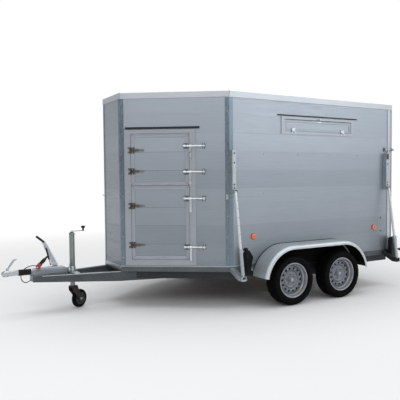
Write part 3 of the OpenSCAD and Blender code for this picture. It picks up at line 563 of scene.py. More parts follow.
# ---- breakaway cable: the route is the one that part.scad has ----
CABLE_R = 0.0045
CABLE = [(-1.896, -0.038, 0.375), (-1.906, -0.039, 0.37), (-1.934, -0.046, 0.357), (-1.956, -0.054, 0.353),
    (-1.978, -0.059, 0.358), (-1.996, -0.062, 0.372), (-2.007, -0.063, 0.393), (-2.011, -0.064, 0.417),
    (-2.009, -0.064, 0.442), (-2.001, -0.063, 0.465), (-1.987, -0.062, 0.485), (-1.968, -0.06, 0.5),
    (-1.946, -0.057, 0.511), (-1.922, -0.052, 0.518), (-1.896, -0.042, 0.521), (-1.872, -0.026, 0.519),
    (-1.852, -0.006, 0.512), (-1.838, 0.008, 0.501), (-1.832, 0.014, 0.49), (-1.831, 0.015, 0.484)]


def add_cable():
    piece = Piece("breakaway_cable_sheath", "chassis", "black_rubber", "breakaway_cable", at=BODY)
    line = smooth_line(CABLE, 4)
    piece.add("black_rubber", tube(line, CABLE_R, 14))
    cable = piece.done()


add_cable()


# ---- nose door ----
LEAF_D, LEAF_W = 0.122, 0.637
LEAF_Z, LOWER_H, UPPER_H = 0.54, 0.802, 0.56
UPPER_Z = LEAF_Z + LOWER_H + 0.004
PROUD, LEAF_PROUD = 0.008, 0.006
HINGE_D, HINGE_Y = LEAF_D - 0.004, -0.017
HINGE_ZS = [UPPER_Z + 0.383, UPPER_Z + 0.155, LEAF_Z + 0.585, LEAF_Z + 0.157]
LATCH_ZS = [UPPER_Z + 0.422, UPPER_Z + 0.145, LEAF_Z + 0.663, LEAF_Z + 0.136]
LATCH_Y, LATCH_R = -0.024, 0.0088
FRAME_START, FRAME_END = 0.05, LEAF_D + LEAF_W + 0.003 + 0.068
LATCH_END = FRAME_END + 0.1
HANDLE_D = LEAF_D + LEAF_W + 0.013
RIM_PROFILE = [(0.0, 0.004), (0.0, -0.0052), (0.0012, -0.006), (0.004, -0.006), (0.0055, -0.0042),
    (0.0125, -0.0042), (0.014, -0.006), (0.018, -0.006), (0.0195, -0.0045), (0.034, -0.0045),
    (0.0355, -0.006), (0.0385, -0.006), (0.04, -0.0045), (0.041, 0.001), (0.03, 0.004)]


def panel(piece, finish, x0, x1, z0, z1, y0, y1):
    """A flush panel of planks: a board for each plank between open seams, on a backing."""
    piece.add("black_rubber", block(x0 + 0.004, x1 - 0.004, y0 + 0.0025, y1 - 0.002, z0 + 0.004, z1 - 0.004,
        0))
    seams = [SEAM_LOW + PLANK * k for k in range(12)]
    cuts = [z0] + [z for z in seams if z0 + 0.02 < z < z1 - 0.02] + [z1]
    for low, high in zip(cuts, cuts[1:]):
        piece.add(finish, block(x0, x1, y0, y1, low + 0.0008, high - 0.0008, 0.0008))


def add_strap(piece, z):
    """The moving half of a strap hinge, in worn bronze: knuckle, leaf and tapered strap with its screws."""
    d = LEAF_D
    piece.add("bronze", knuckle(0.0041, 0.008, 0.0234), shift(HINGE_D, HINGE_Y, z - 0.0117))
    piece.add("bronze", block(HINGE_D + 0.004, d + 0.012, -0.014, -0.0092, z - 0.0115, z + 0.0115, 0.0006))
    piece.add("bronze", block(d + 0.005, d + 0.041, -0.0125, -LEAF_PROUD, z - 0.033, z + 0.033, 0.001))
    strap = [(d + 0.038, z - 0.019), (d + 0.1, z - 0.01), (d + 0.143, z - 0.008), (d + 0.146, z),
        (d + 0.143, z + 0.008), (d + 0.1, z + 0.01), (d + 0.038, z + 0.019)]
    piece.add("strap_steel", slab(strap, -0.0115, -0.0045, 0.0012))
    for u, v, r in ((0.018, 0.022, 0.0042), (0.018, -0.022, 0.0042), (0.062, 0, 0.0042), (0.095, 0, 0.004),
            (0.13, 0, 0.0038)):
        piece.add("zinc", dome(r, 0.0022), shift(d + u, -0.0122, z + v) @ OUT)
    piece.add("bronze", slab([(d + 0.044, z - 0.01), (d + 0.1, z - 0.005), (d + 0.1, z + 0.005),
        (d + 0.044, z + 0.01)], -0.0135, -0.011, 0.0009))


def add_leaf(name, body, z0, height, hinges, latches):
    piece = Piece(name + "_panel", body, "planks", name, at=NOSE)
    x0, x1, z1 = LEAF_D, LEAF_D + LEAF_W, z0 + height
    panel(piece, "planks", x0 + 0.038, x1 - 0.038, z0 + 0.038, z1 - 0.038, 0.0, 0.022)
    piece.add("planks", block(x0, x1, 0.004, 0.021, z0, z1, 0.0008))
    piece.add("leaf_trim", picture_frame(x0, x1, z0, z1, RIM_PROFILE))
    for u, v, s, t in ((x0, z0, 1, 1), (x1, z0, -1, 1), (x1, z1, -1, -1), (x0, z1, 1, -1)):
        mitre = slab([(u, v), (u + s * 0.0008, v), (u + s * 0.039, v + t * 0.0382),
            (u + s * 0.0382, v + t * 0.039), (u, v + t * 0.0008)], -0.0062, -0.003, 0)
        piece.add("black_rubber", mitre)
    for z in hinges:
        add_strap(piece, z)
    for z in latches:
        for d in (LEAF_W - 0.052, LEAF_W - 0.02):
            u = LEAF_D + d
            # painted shade: near-black bearing blocks, and below them a plate in dark steel, give the dark
            # shading round the bright latch bars
            piece.add("cast_black", block(u, u + 0.016, LATCH_Y - 0.002, -LEAF_PROUD, z - 0.013, z + 0.013,
                0.0015))
            piece.add("bright_zinc", lathe([(LATCH_R + PLAY, 0), (0.013, 0), (0.0142, 0.001),
                (0.0142, 0.015), (0.013, 0.016), (LATCH_R + PLAY, 0.016)], 28, closed=True),
                shift(u, LATCH_Y, z) @ ALONG)
        plate = [(x1 - 0.062, z - 0.03), (x1, z - 0.03), (x1, z + 0.03), (x1 - 0.062, z + 0.03)]
        piece.add("plate_steel", slab(plate, -0.0085, -0.0055, 0.0008))
        for v in (-0.022, 0.022):
            for u in (-0.054, -0.006):
                piece.add("zinc", dome(0.004, 0.002), shift(x1 + u, -0.0085, z + v) @ OUT)
    piece.done()


def add_latch(index, z):
    """A T-bar latch: shaft, collar, hanging handle and the cam that its keeper holds."""
    piece = Piece(f"latch_{index}_bar", f"latch_{index}", "zinc", f"door_latch_{index}", at=NOSE)
    start = LEAF_D + LEAF_W - 0.062
    place = shift(start, LATCH_Y, z) @ ALONG
    reach, r = LATCH_END - start, LATCH_R
    piece.add("bright_zinc", lathe([(0, 0), (0.0122, 0), (0.013, 0.001), (0.013, 0.007), (0.0122, 0.008),
        (r, 0.008), (r, reach - 0.03), (0.006, reach - 0.028), (0.006, reach - 0.012),
        (r + 0.002, reach - 0.01), (r + 0.002, reach - 0.002), (r, reach), (0, reach)], 28), place)
    hub = HANDLE_D - start
    piece.add("bright_zinc", lathe([(0.007, hub - 0.013), (0.0138, hub - 0.013), (0.0148, hub - 0.012),
        (0.0148, hub + 0.012), (0.0138, hub + 0.013), (0.007, hub + 0.013)], 28), place)
    half = [(-0.012, -0.012), (-0.0118, -0.03), (-0.01, -0.1), (-0.011, -0.134), (-0.01, -0.143),
        (-0.005, -0.1495)]
    handle = mirrored(half, -1, 1)
    piece.add("bright_zinc", slab(handle, -0.0035, 0.0035, 0.0014), shift(HANDLE_D, LATCH_Y, z))
    rib = mirrored([(-0.0045, -0.016), (-0.0035, -0.128)], -1, 1)
    piece.add("zinc", slab(rib, -0.0062, -0.003, 0.001), shift(HANDLE_D, LATCH_Y, z))
    piece.add("cast_black", lathe([(0, -0.0042), (0.0042, -0.0042), (0.0042, 0.0042), (0, 0.0042)], 20),
        shift(HANDLE_D, LATCH_Y, z - 0.139) @ OUT)
    piece.done()


def add_keeper(piece, x, z, y=LATCH_Y):
    """Back plate with two ears that the latch's shaft lies between, and its screws."""
    # painted shade: the back plate in dark steel gives the dark shading round the bright latch
    piece.add("plate_steel", block(x - 0.024, x + 0.01, -0.005, 0, z - 0.03, z + 0.03, 0.001))
    for s in (-1, 1):
        piece.add("bright_zinc", block(x - 0.0175, x + 0.0005, y - 0.01, -0.004, z + s * 0.0112 - 0.003,
            z + s * 0.0112 + 0.003, 0.0012))
        piece.add("bright_zinc", dome(0.005, 0.0026), shift(x - 0.008, -0.005, z + s * 0.0225) @ OUT)


def add_fixed_hinge(piece, z):
    """The two fixed knuckles of a strap hinge on the door frame, with the pin through them."""
    for s in (-1, 1):
        low = z + s * 0.0225 - 0.0105
        piece.add("bronze", knuckle(0.004, 0.008, 0.021), shift(HINGE_D, HINGE_Y, low))
        piece.add("bronze", block(HINGE_D - 0.027, HINGE_D - 0.003, -0.0135, -PROUD, low, low + 0.021,
            0.0008))
        piece.add("zinc", dome(0.004, 0.002), shift(HINGE_D - 0.018, -0.0135, low + 0.0105) @ OUT)
    piece.add("zinc", rod(0.0039, 0.066, 0.0006, 20), shift(HINGE_D, HINGE_Y, z - 0.033))


VENT_X, FLAP_IN, FLAP_L, FLAP_H, FLAP_Z = 0.699, 0.05, 1.035, 0.129, 1.953
VENT_PIN_Z = FLAP_Z - 0.006
VENT_HINGES = (VENT_X + 0.174, VENT_X + FLAP_L - 0.093)
FLAP_MID = VENT_X + FLAP_IN + FLAP_L / 2
RAIL_W, RAIL_OUT = 0.045, 0.06
RAILS = {"front": 0.0, "rear": WALL_END - 0.128}
RAMP_LATCH_Z, RAMP_LATCH_Y = 1.768, -(HALF_W + 0.004 + 0.017)


def add_wall_fittings():
    piece = Piece("wall_ironwork", "chassis", "zinc", "wall_fittings", at=BODY)
    nose_part = Piece("nose_ironwork", "chassis", "zinc", at=NOSE)
    for z in LATCH_ZS:
        add_keeper(nose_part, LATCH_END - 0.006, z)
    for z in HINGE_ZS:
        add_fixed_hinge(nose_part, z)
    nose_part.done()
    for side in SIDES.values():
        piece.at = side
        for x in (0.457, 0.947, 1.428, 1.899):
            for z in (1.684, 1.245):
                piece.add("planks", lathe([(0, 0), (0.0095, 0), (0.0095, 0.0008), (0.0085, 0.0018),
                    (0, 0.0018)], 24), shift(x, 0, z) @ OUT)
                piece.add("planks", dome(0.0062, 0.0035), shift(x, -0.0016, z) @ OUT)
        for z in (0.887, 0.72):
            piece.add("cast_black", bolt_head(0.0072), shift(WALL_END - 0.165, 0, z) @ OUT)
        for x in VENT_HINGES:
            for s in (-1, 1):
                place = shift(x + s * 0.02 - 0.008, HINGE_Y, VENT_PIN_Z) @ ALONG
                piece.add("zinc", knuckle(0.0035, 0.007, 0.016), place)
                piece.add("zinc", block(x + s * 0.02 - 0.008, x + s * 0.02 + 0.008, -0.0128, -PROUD,
                    VENT_PIN_Z - 0.022, VENT_PIN_Z - 0.003, 0.0008))
            piece.add("zinc", rod(0.0034, 0.056, 0.0005, 18), shift(x - 0.028, HINGE_Y, VENT_PIN_Z) @ ALONG)
        catch_z = FLAP_Z + FLAP_H + 0.017
        piece.add("zinc", rod(0.007, 0.018, 0.001), shift(FLAP_MID, -PROUD, catch_z) @ OUT)
        piece.add("zinc", slab([(FLAP_MID - 0.014, catch_z - 0.003), (FLAP_MID - 0.008, catch_z - 0.006),
            (FLAP_MID + 0.008, catch_z - 0.006), (FLAP_MID + 0.014, catch_z - 0.003),
            (FLAP_MID + 0.014, catch_z + 0.006), (FLAP_MID - 0.014, catch_z + 0.006)], -0.022, -0.0145,
            0.001))
        add_keeper(piece, RAILS["rear"] + 0.032, RAMP_LATCH_Z, RAMP_LATCH_Y + HALF_W)
    piece.done()


def add_door():
    add_leaf("door_upper", "upper_leaf", UPPER_Z, UPPER_H, HINGE_ZS[:2], LATCH_ZS[:2])
    add_leaf("door_lower", "lower_leaf", LEAF_Z, LOWER_H, HINGE_ZS[2:], LATCH_ZS[2:])
    for index, z in enumerate(LATCH_ZS, 1):
        add_latch(index, z)
    piece = Piece("door_frame_beads", "chassis", "trim", at=NOSE)
    low, high = LEAF_Z - 0.065, UPPER_Z + UPPER_H + 0.045
    bead = [(0.0, -0.006), (0.0, -0.0092), (0.001, -0.0098), (0.004, -0.0098), (0.005, -0.0092),
        (0.005, -0.006)]
    piece.add("leaf_trim", picture_frame(FRAME_START, FRAME_END, low, high, bead))
    inner = [(0.0, -0.006), (0.0, -0.0088), (0.002, -0.0092), (0.003, -0.0088), (0.003, -0.006)]
    piece.add("leaf_trim", picture_frame(FRAME_START + 0.055, FRAME_END - 0.052, LEAF_Z - 0.016,
        UPPER_Z + UPPER_H + 0.015, inner))
    for z in [low + 0.03 + k * (high - low - 0.06) / 7 for k in range(8)]:
        for d in (FRAME_START + 0.024, FRAME_END - 0.022):
            piece.add("leaf_trim", dome(0.0042, 0.0016), shift(d, -PROUD, z) @ OUT)
    piece.done()


add_door()
add_wall_fittings()


# ---- vent flaps ----
def add_flap(name, side):
    piece = Piece(f"flap_{name}_panel", f"flap_{name}", "planks", f"vent_flap_{name}", at=side)
    x0, x1, z0, z1 = VENT_X + FLAP_IN, VENT_X + FLAP_IN + FLAP_L, FLAP_Z, FLAP_Z + FLAP_H
    piece.add("planks", block(x0, x1, 0.001, 0.016, z0, z1, 0.0008))
    profile = [(u * 0.65, y) for u, y in RIM_PROFILE]
    piece.add("leaf_trim", picture_frame(x0, x1, z0, z1, profile))
    for x in VENT_HINGES:
        piece.add("zinc", knuckle(0.0036, 0.007, 0.023), shift(x - 0.0115, HINGE_Y, VENT_PIN_Z) @ ALONG)
        piece.add("zinc", block(x - 0.0115, x + 0.0115, -0.013, -0.009, VENT_PIN_Z + 0.003, FLAP_Z + 0.008,
            0.0006))
        piece.add("zinc", block(x - 0.026, x + 0.026, -0.0125, -LEAF_PROUD, FLAP_Z + 0.003, FLAP_Z + 0.034,
            0.0012))
        for s in (-1, 1):
            piece.add("zinc", dome(0.0042, 0.0022), shift(x + s * 0.016, -0.0125, FLAP_Z + 0.019) @ OUT)
    piece.add("zinc", slab([(FLAP_MID - 0.045, z1 - 0.006), (FLAP_MID + 0.045, z1 - 0.006),
        (FLAP_MID + 0.012, z1 - 0.022), (FLAP_MID - 0.012, z1 - 0.022)], -0.0095, -0.004, 0.0008))
    piece.done()


for side_name, side_frame in SIDES.items():
    add_flap(side_name, side_frame)


# ---- mudguards ----
SILL_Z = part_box("sill_rails")[0].z
WHEEL_XS = [joint_place(f"wheel_{end}_left_roll").x for end in ("front", "rear")]
TYRE_R = joint_place("wheel_front_left_roll").z
WHEEL_Y = -joint_place("wheel_front_left_roll").y
GUARD_R, GUARD_Z, GUARD_IN = 0.4, 0.27, 0.015
GUARD_W = WHEEL_Y - HALF_W + 0.092 + 0.012
GUARD_LOW = GUARD_Z + 0.066
SECTION_W = 0.229
# (out from the wall, up from the crown): pressed top with its rolled double lip, then back under it
GUARD_TOP = [(0.0, 0.0), (0.05, 0.0008), (0.11, 0.0006), (0.17, -0.0004), (0.198, -0.001), (0.2065, -0.002),
    (0.2065, -0.006), (0.1, -0.0028), (0.0, -0.003)]
GUARD_LIP = [(0.2062, -0.0018), (0.212, -0.0026), (0.2185, -0.0052), (0.2245, -0.01), (0.2285, -0.0165),
    (0.23, -0.0225), (0.23, -0.0275), (0.224, -0.029), (0.2232, -0.0315), (0.224, -0.0335),
    (0.2295, -0.0345), (0.2318, -0.0368), (0.2318, -0.0402), (0.2295, -0.0425), (0.2255, -0.0428),
    (0.2222, -0.0405), (0.2205, -0.034), (0.2205, -0.025), (0.219, -0.016), (0.214, -0.01),
    (0.2062, -0.0064)]


def guard_route(r):
    """Along the guard's crown from its front end, over both wheels, to its rear end."""
    front, rear = WHEEL_XS[0] - GUARD_IN, WHEEL_XS[1] + GUARD_IN
    end = math.asin((GUARD_LOW - GUARD_Z) / GUARD_R)
    steps = 28
    turns = [math.pi - end - (math.pi / 2 - end) * k / steps for k in range(steps + 1)]
    route = [(front, a) for a in turns]
    route += [(front + (rear - front) * k / 8, math.pi / 2) for k in range(1, 8)]
    route += [(rear, math.pi - a) for a in reversed(turns)]
    out = Vector((0, -1, 0))
    return [(Vector((x + r * math.cos(a), 0, GUARD_Z + r * math.sin(a))), out,
        Vector((math.cos(a), 0, math.sin(a)))) for x, a in route]


def add_mudguard(name, side):
    piece = Piece(f"mudguard_{name}_shell", "chassis", "galvanised", *once("mudguards", name == "left"),
        at=side)
    scale = GUARD_W / SECTION_W
    # the rolled lip takes the paler copy of the guard's steel: painted highlight
    for finish, section in (("guard_steel", GUARD_TOP), ("guard_lip", GUARD_LIP)):
        piece.add(finish, sweep(guard_route(GUARD_R), [(u * scale, v) for u, v in section]))
    # painted shade: a black sheet under the guard's crown and a black arch slab on the wall beneath it stand in
    # for the shade in the wheel arch
    under = [(0.004, -0.0002), (GUARD_W * 0.93, -0.003), (GUARD_W * 0.93, -0.0045), (0.004, -0.0018)]
    piece.add("tyre", sweep(guard_route(GUARD_R - 0.0036), under))
    arch = [(p.x, max(p.z, SILL_Z + 0.004)) for p, _, _ in guard_route(GUARD_R - 0.03) if p.z > SILL_Z]
    arch = [(arch[0][0], SILL_Z + 0.004)] + arch + [(arch[-1][0], SILL_Z + 0.004)]
    piece.add("tyre", slab(arch, -0.01, -0.0085, 0))
    seal = [(-0.0005, 0.0), (0.009, 0.0), (0.0085, 0.0045), (0.006, 0.0062), (0.0005, 0.0065)]
    piece.add("black_rubber", sweep(guard_route(GUARD_R - 0.001), seal))
    flange = [(0.0, -0.001), (0.0032, -0.001), (0.0032, -0.0275), (0.0, -0.0275)]
    piece.add("guard_steel", sweep(guard_route(GUARD_R), [(u + 0.0005, v) for u, v in flange]))
    for p, out, _ in guard_route(GUARD_R - 0.016)[3::6]:
        if p.z > WALL_LOW + 0.02:
            piece.add("zinc", dome(0.006, 0.003), shift(*(p + out * 0.0035)) @ OUT)
    for x in (WHEEL_XS[0] - GUARD_R - GUARD_IN + 0.02, WHEEL_XS[1] + GUARD_R + GUARD_IN - 0.02):
        near, far = sorted((x - 0.004 if x > WHEEL_XS[0] else x + 0.004,
            x - 0.001 if x > WHEEL_XS[0] else x + 0.001))
        # the guard's end stays take the painted-shade copy of the galvanised steel
        piece.add("under_steel_painted_shade", block(near, far, -GUARD_W + 0.03, 0.04, GUARD_LOW + 0.012,
            GUARD_LOW + 0.042, 0.0008))
    piece.done()


for side_name, side_frame in SIDES.items():
    add_mudguard(side_name, side_frame)


# ---- wheels ----
RIM_R, BEAD_R, FLANGE_Z, TYRE_HALF = 0.195, 0.178, 0.07, 0.092
HOLE_R, HOLES, HOLE_CIRCLE = 0.0143, 14, 0.128
BOLTS, BOLT_CIRCLE = 5, 0.056
TREAD_GROOVES = (-0.047, -0.016, 0.016, 0.047)


def tyre_profile():
    """(radius, across, share) round the tyre's section; share says how deep a lug's gap cuts there."""
    r, w = TYRE_R, TYRE_HALF
    wall = [(BEAD_R + 0.0006, FLANGE_Z - 0.0007, 0), (RIM_R + 0.0015, FLANGE_Z - 0.0007, 0),
        (RIM_R + 0.004, w - 0.014, 0), (RIM_R + 0.01, w - 0.0062, 0), (RIM_R + 0.0105, w - 0.0048, 0),
        (RIM_R + 0.0125, w - 0.0045, 0), (RIM_R + 0.013, w - 0.0058, 0), (RIM_R + 0.021, w - 0.0022, 0),
        (RIM_R + 0.031, w - 0.0008, 0), (RIM_R + 0.0315, w, 0), (RIM_R + 0.034, w, 0),
        (RIM_R + 0.0345, w - 0.001, 0), (RIM_R + 0.045, w - 0.0016, 0), (r - 0.027, w - 0.0034, 0),
        (r - 0.0205, w - 0.0048, 0.1), (r - 0.0198, w - 0.0042, 0.5), (r - 0.0145, w - 0.0068, 0.8),
        (r - 0.0085, w - 0.0122, 1), (r - 0.0042, w - 0.02, 1), (r - 0.0018, w - 0.03, 1)]
    half = wall + [(r - 0.001, 0.052, 1)]
    for z in sorted((g for g in TREAD_GROOVES if g > 0), reverse=True):
        wide = 0.0038
        half += [(r - 0.0004, z + wide, 0.9), (r - 0.0065, z + wide - 0.0008, 0),
            (r - 0.0065, z - wide + 0.0008, 0), (r - 0.0003, z - wide, 0.9)]
        half += [(r, z - wide - 0.009, 0.35)] if z > 0.03 else []
    other = [(radius, -z, share) for radius, z, share in reversed(half)]
    inner = [(BEAD_R + 0.001, -FLANGE_Z + 0.01, 0), (RIM_R + 0.02, -w + 0.012, 0),
        (r - 0.03, -w + 0.014, 0), (r - 0.012, -w + 0.04, 0), (r - 0.012, w - 0.04, 0),
        (r - 0.03, w - 0.014, 0), (RIM_R + 0.02, w - 0.012, 0), (BEAD_R + 0.001, FLANGE_Z - 0.01, 0)]
    return half + other + inner


def tyre_shape(pitches=60):
    """The tyre up Z: its section carried round, with a lug and a gap for each pitch of the tread."""
    profile = tyre_profile()
    shape = bmesh.new()
    rings = []
    for k in range(pitches):
        for part, depth in ((0.0, 0.0), (0.36, 0.0), (0.72, 0.0), (0.745, 1.0), (0.975, 1.0)):
            a = 2 * math.pi * (k + part) / pitches
            ring = []
            for r, z, share in profile:
                lean = math.copysign(min(abs(z) / TYRE_HALF, 1) ** 2 * 0.35, z) if share else 0
                b = a + 2 * math.pi * lean / pitches
                cut = r - 0.0058 * depth * share
                ring.append(shape.verts.new((cut * math.cos(b), cut * math.sin(b), z)))
            rings.append(ring)
    for a, b in zip(rings, rings[1:] + rings[:1]):
        bridge(shape, a, b)
    bmesh.ops.recalc_face_normals(shape, faces=shape.faces)
    return crease(shape, 38)


def rim_shape():
    """A pressed steel wheel up Z: barrel, disc with round holes, centre dish."""
    barrel = [(RIM_R, FLANGE_Z), (RIM_R + 0.0004, FLANGE_Z + 0.0022), (RIM_R - 0.002, FLANGE_Z + 0.003),
        (RIM_R - 0.006, FLANGE_Z + 0.0028), (0.183, FLANGE_Z + 0.0005), (BEAD_R - 0.001, FLANGE_Z - 0.005),
        (BEAD_R - 0.003, FLANGE_Z - 0.012), (BEAD_R - 0.0045, 0.047), (BEAD_R - 0.005, 0.041),
        (0.166, 0.034), (0.161, 0.029), (0.1595, 0.024), (0.1595, -0.028), (0.161, -0.033), (0.17, -0.04),
        (BEAD_R - 0.005, -0.046), (BEAD_R - 0.003, -0.066), (0.183, -FLANGE_Z),
        (RIM_R - 0.004, -FLANGE_Z - 0.003), (RIM_R, -FLANGE_Z - 0.003), (RIM_R, -FLANGE_Z),
        (BEAD_R + 0.003, -FLANGE_Z + 0.002), (BEAD_R, -0.064), (BEAD_R, -0.044), (0.165, -0.031),
        (0.1625, -0.027), (0.1625, 0.023), (0.165, 0.029), (BEAD_R, 0.04), (BEAD_R, 0.064),
        (BEAD_R + 0.003, FLANGE_Z - 0.002)]
    disc = [(0.1605, 0.006), (0.16, 0.014), (0.157, 0.0165), (0.152, 0.0195), (0.145, 0.0225),
        (0.136, 0.0245), (0.122, 0.025), (0.114, 0.024), (0.107, 0.0205), (0.102, 0.014), (0.0985, 0.0085),
        (0.0945, 0.0062), (0.0905, 0.007), (0.0868, 0.0118), (0.082, 0.014), (0.0775, 0.0124),
        (0.0735, 0.0098), (0.045, 0.0098), (0.036, 0.0092), (0.0325, 0.0085), (0.0315, 0.0035),
        (0.0315, 0.0022), (0.036, 0.0035), (0.045, 0.005), (0.0735, 0.005), (0.0775, 0.008),
        (0.082, 0.0098), (0.0868, 0.0076), (0.0905, 0.0032), (0.0945, 0.0026), (0.101, 0.0068),
        (0.106, 0.013), (0.112, 0.0185), (0.122, 0.0208), (0.136, 0.02), (0.146, 0.0175), (0.153, 0.014),
        (0.156, 0.009), (0.1565, 0.004)]
    shape = lathe(barrel, 112, closed=True)
    return shape, lathe(disc, 112, closed=True)


def drilled(body, tool, place=Matrix()):
    """The body's shape with the tool's shape cut out of it."""
    tool.transform(place)
    made = []
    for name, source in (("body", body), ("tool", tool)):
        mesh = bpy.data.meshes.new(name)
        source.to_mesh(mesh)
        source.free()
        made.append(bpy.data.objects.new(name, mesh))
        scene.collection.objects.link(made[-1])
    cut = made[0].modifiers.new("cut", "BOOLEAN")
    cut.operation, cut.object, cut.solver = "DIFFERENCE", made[1], "EXACT"
    graph = bpy.context.evaluated_depsgraph_get()
    shape = bmesh.new()
    shape.from_mesh(bpy.data.meshes.new_from_object(made[0].evaluated_get(graph)))
    for thing in made:
        bpy.data.objects.remove(thing)
    for edge in shape.edges:
        if edge.calc_face_angle(0) > math.radians(50):
            edge.smooth = False
    return shape


def rim_mesh():
    piece = Piece("rim_pressing", "chassis", "rim_paint")
    barrel, disc = rim_shape()
    holes = bmesh.new()
    for k in range(HOLES):
        drill = lathe([(0, -0.01), (HOLE_R, -0.01), (HOLE_R, 0.05), (0, 0.05)], 28)
        drill.transform(turn(360 * k / HOLES, "Z") @ shift(HOLE_CIRCLE, 0, 0))
        merge(holes, drill)
    # the barrel, hole lips, bolt seats and ring take the lighter copy of the rim paint: painted highlight
    piece.add("rim_paint_highlight", barrel)
    piece.add("rim_paint", drilled(disc, holes))
    # painted shade: a thin black ring behind the disc's holes, so they show dark
    piece.add("black_rubber", lathe([(0.113, 0.003), (0.1555, 0.003), (0.1555, 0.0042), (0.113, 0.0042)],
        64, closed=True))
    piece.add("rim_paint_highlight", lathe([(0.079, 0.0132), (0.0805, 0.0143), (0.0835, 0.0143), (0.085, 0.013),
        (0.082, 0.0125)], 72, closed=True))
    for k in range(HOLES):
        lip = lathe([(r + HOLE_R, z) for r, z in ((0, 0.0225), (0.0012, 0.0252), (0.0024, 0.0246),
            (0.0024, 0.0225))], 28, closed=True)
        piece.add("rim_paint_highlight", lip, turn(360 * k / HOLES, "Z") @ shift(HOLE_CIRCLE, 0, -0.0006))
    for k in range(BOLTS):
        seat = turn(360 / BOLTS * k, "Z") @ shift(BOLT_CIRCLE, 0, 0.0085)
        piece.add("rim_paint_highlight", lathe([(0.0098, 0), (0.0165, 0.0), (0.0135, 0.004), (0.0098, 0.0035)], 28,
            closed=True), seat)
        piece.add("plate_steel", bolt_head(0.0095, washer=False), seat @ shift(0, 0,
            0.001) @ Matrix.Scale(1.25, 4, (0, 0, 1)))
    valve = turn(100, "Z") @ shift(0.15, 0, 0.0185)
    piece.add("black_rubber", lathe([(0, 0), (0.0062, 0), (0.0055, 0.006), (0.0042, 0.012), (0.0042, 0.022),
        (0, 0.022)], 16), valve)
    piece.add("zinc", lathe([(0, 0.0215), (0.0036, 0.0215), (0.0038, 0.029), (0.003, 0.031), (0, 0.031)],
        16), valve)
    for k in range(3):
        weight = turn(205 + 9 * k, "Z")
        piece.add("zinc", block(0.1795, 0.1845, -0.008, 0.008, FLANGE_Z - 0.008, FLANGE_Z + 0.0005, 0.0015),
            weight)
    return piece.mesh()


def add_wheels():
    rubber = Piece("tyre_rubber", "chassis", "tyre")
    rubber.add("tyre", tyre_shape())
    tyre_mesh, steel = rubber.mesh(), rim_mesh()
    for end, x, at_rest in zip(("front", "rear"), WHEEL_XS, (23, 118)):
        turned = steel.copy()
        turned.transform(turn(at_rest, "Z"))
        for name, s in (("left", 1), ("right", -1)):
            place = BODY @ shift(x, -s * WHEEL_Y, TYRE_R) @ turn(s * 90, "X")
            wheel = f"wheel_{end}_{name}"
            show(f"{wheel}_tyre", tyre_mesh, wheel, [f"tyre_{end}_{name}"], place)
            show(f"{wheel}_rim", turned, wheel, [f"rim_{end}_{name}"], place)


add_wheels()


# ---- axle arms: torsion lever, brake drum and hub cap ----
def add_axle_arm(end, name, flip):
    pivot = joint_place(f"suspension_{end}_left")
    x = WHEEL_XS[0 if end == "front" else 1]
    piece = Piece(f"arm_{end}_{name}_forging", f"arm_{end}_{name}", "cast_black", f"axle_arm_{end}_{name}",
        at=flip @ BODY)
    tube_end = HALF_W - 0.055 + 0.005
    slope = math.atan2(pivot.z - TYRE_R, x - pivot.x)
    lean = math.degrees(slope)
    lever = arc(pivot.x, pivot.z, 0.036, 90 - lean, 270 - lean) + arc(x, TYRE_R, 0.034, -90 - lean, 90 - lean)
    piece.add("cast_black", slab(lever, -HALF_W + 0.009, -tube_end - 0.0005, 0.003))
    piece.add("cast_black", rod(0.024, 0.12, 0.001), shift(pivot.x, -tube_end + 0.11, pivot.z) @ OUT)
    piece.add("zinc", bolt_head(0.014), shift(pivot.x, -HALF_W + 0.009, pivot.z) @ OUT)
    drum = [(0, -0.0015), (0.1, -0.0015), (0.1075, -0.001), (0.1125, 0.003), (0.115, 0.006), (0.115, 0.012),
        (0.1115, 0.013), (0.1115, 0.018), (0.115, 0.019), (0.115, 0.025), (0.1115, 0.026), (0.1115, 0.046),
        (0.115, 0.048), (0.115, 0.058), (0.112, 0.06), (0, 0.06)]
    hub = shift(x, -WHEEL_Y, TYRE_R) @ turn(-90, "X")
    piece.add("cast_black", lathe(drum, 64), hub)
    for k in range(24):
        piece.add("cast_black", block(0.1085, 0.1148, -0.002, 0.002, 0.026, 0.046, 0.0006),
            hub @ turn(15 * k, "Z"))
    piece.add("cast_black", rod(0.024, WHEEL_Y - HALF_W - 0.03, 0.002),
        shift(x, -HALF_W + 0.016, TYRE_R) @ OUT)
    cap = [(0, 0.046), (0.012, 0.0455), (0.019, 0.0435), (0.0235, 0.04), (0.0255, 0.034), (0.026, 0.016),
        (0.0295, 0.0145), (0.0298, 0.01), (0.0298, -0.004), (0, -0.004)]
    # the hub cap in the lighter copy of the rim paint: painted highlight
    piece.add("rim_paint_highlight", lathe(cap, 40), shift(x, -WHEEL_Y, TYRE_R) @ OUT)
    piece.done()


for end_name in ("front", "rear"):
    add_axle_arm(end_name, "left", Matrix())
    add_axle_arm(end_name, "right", FLIP)


# ---- marker lamps and rear lamps ----
LAMP_X, LAMP_W = RAILS["rear"] + RAIL_W + 0.01, 0.1


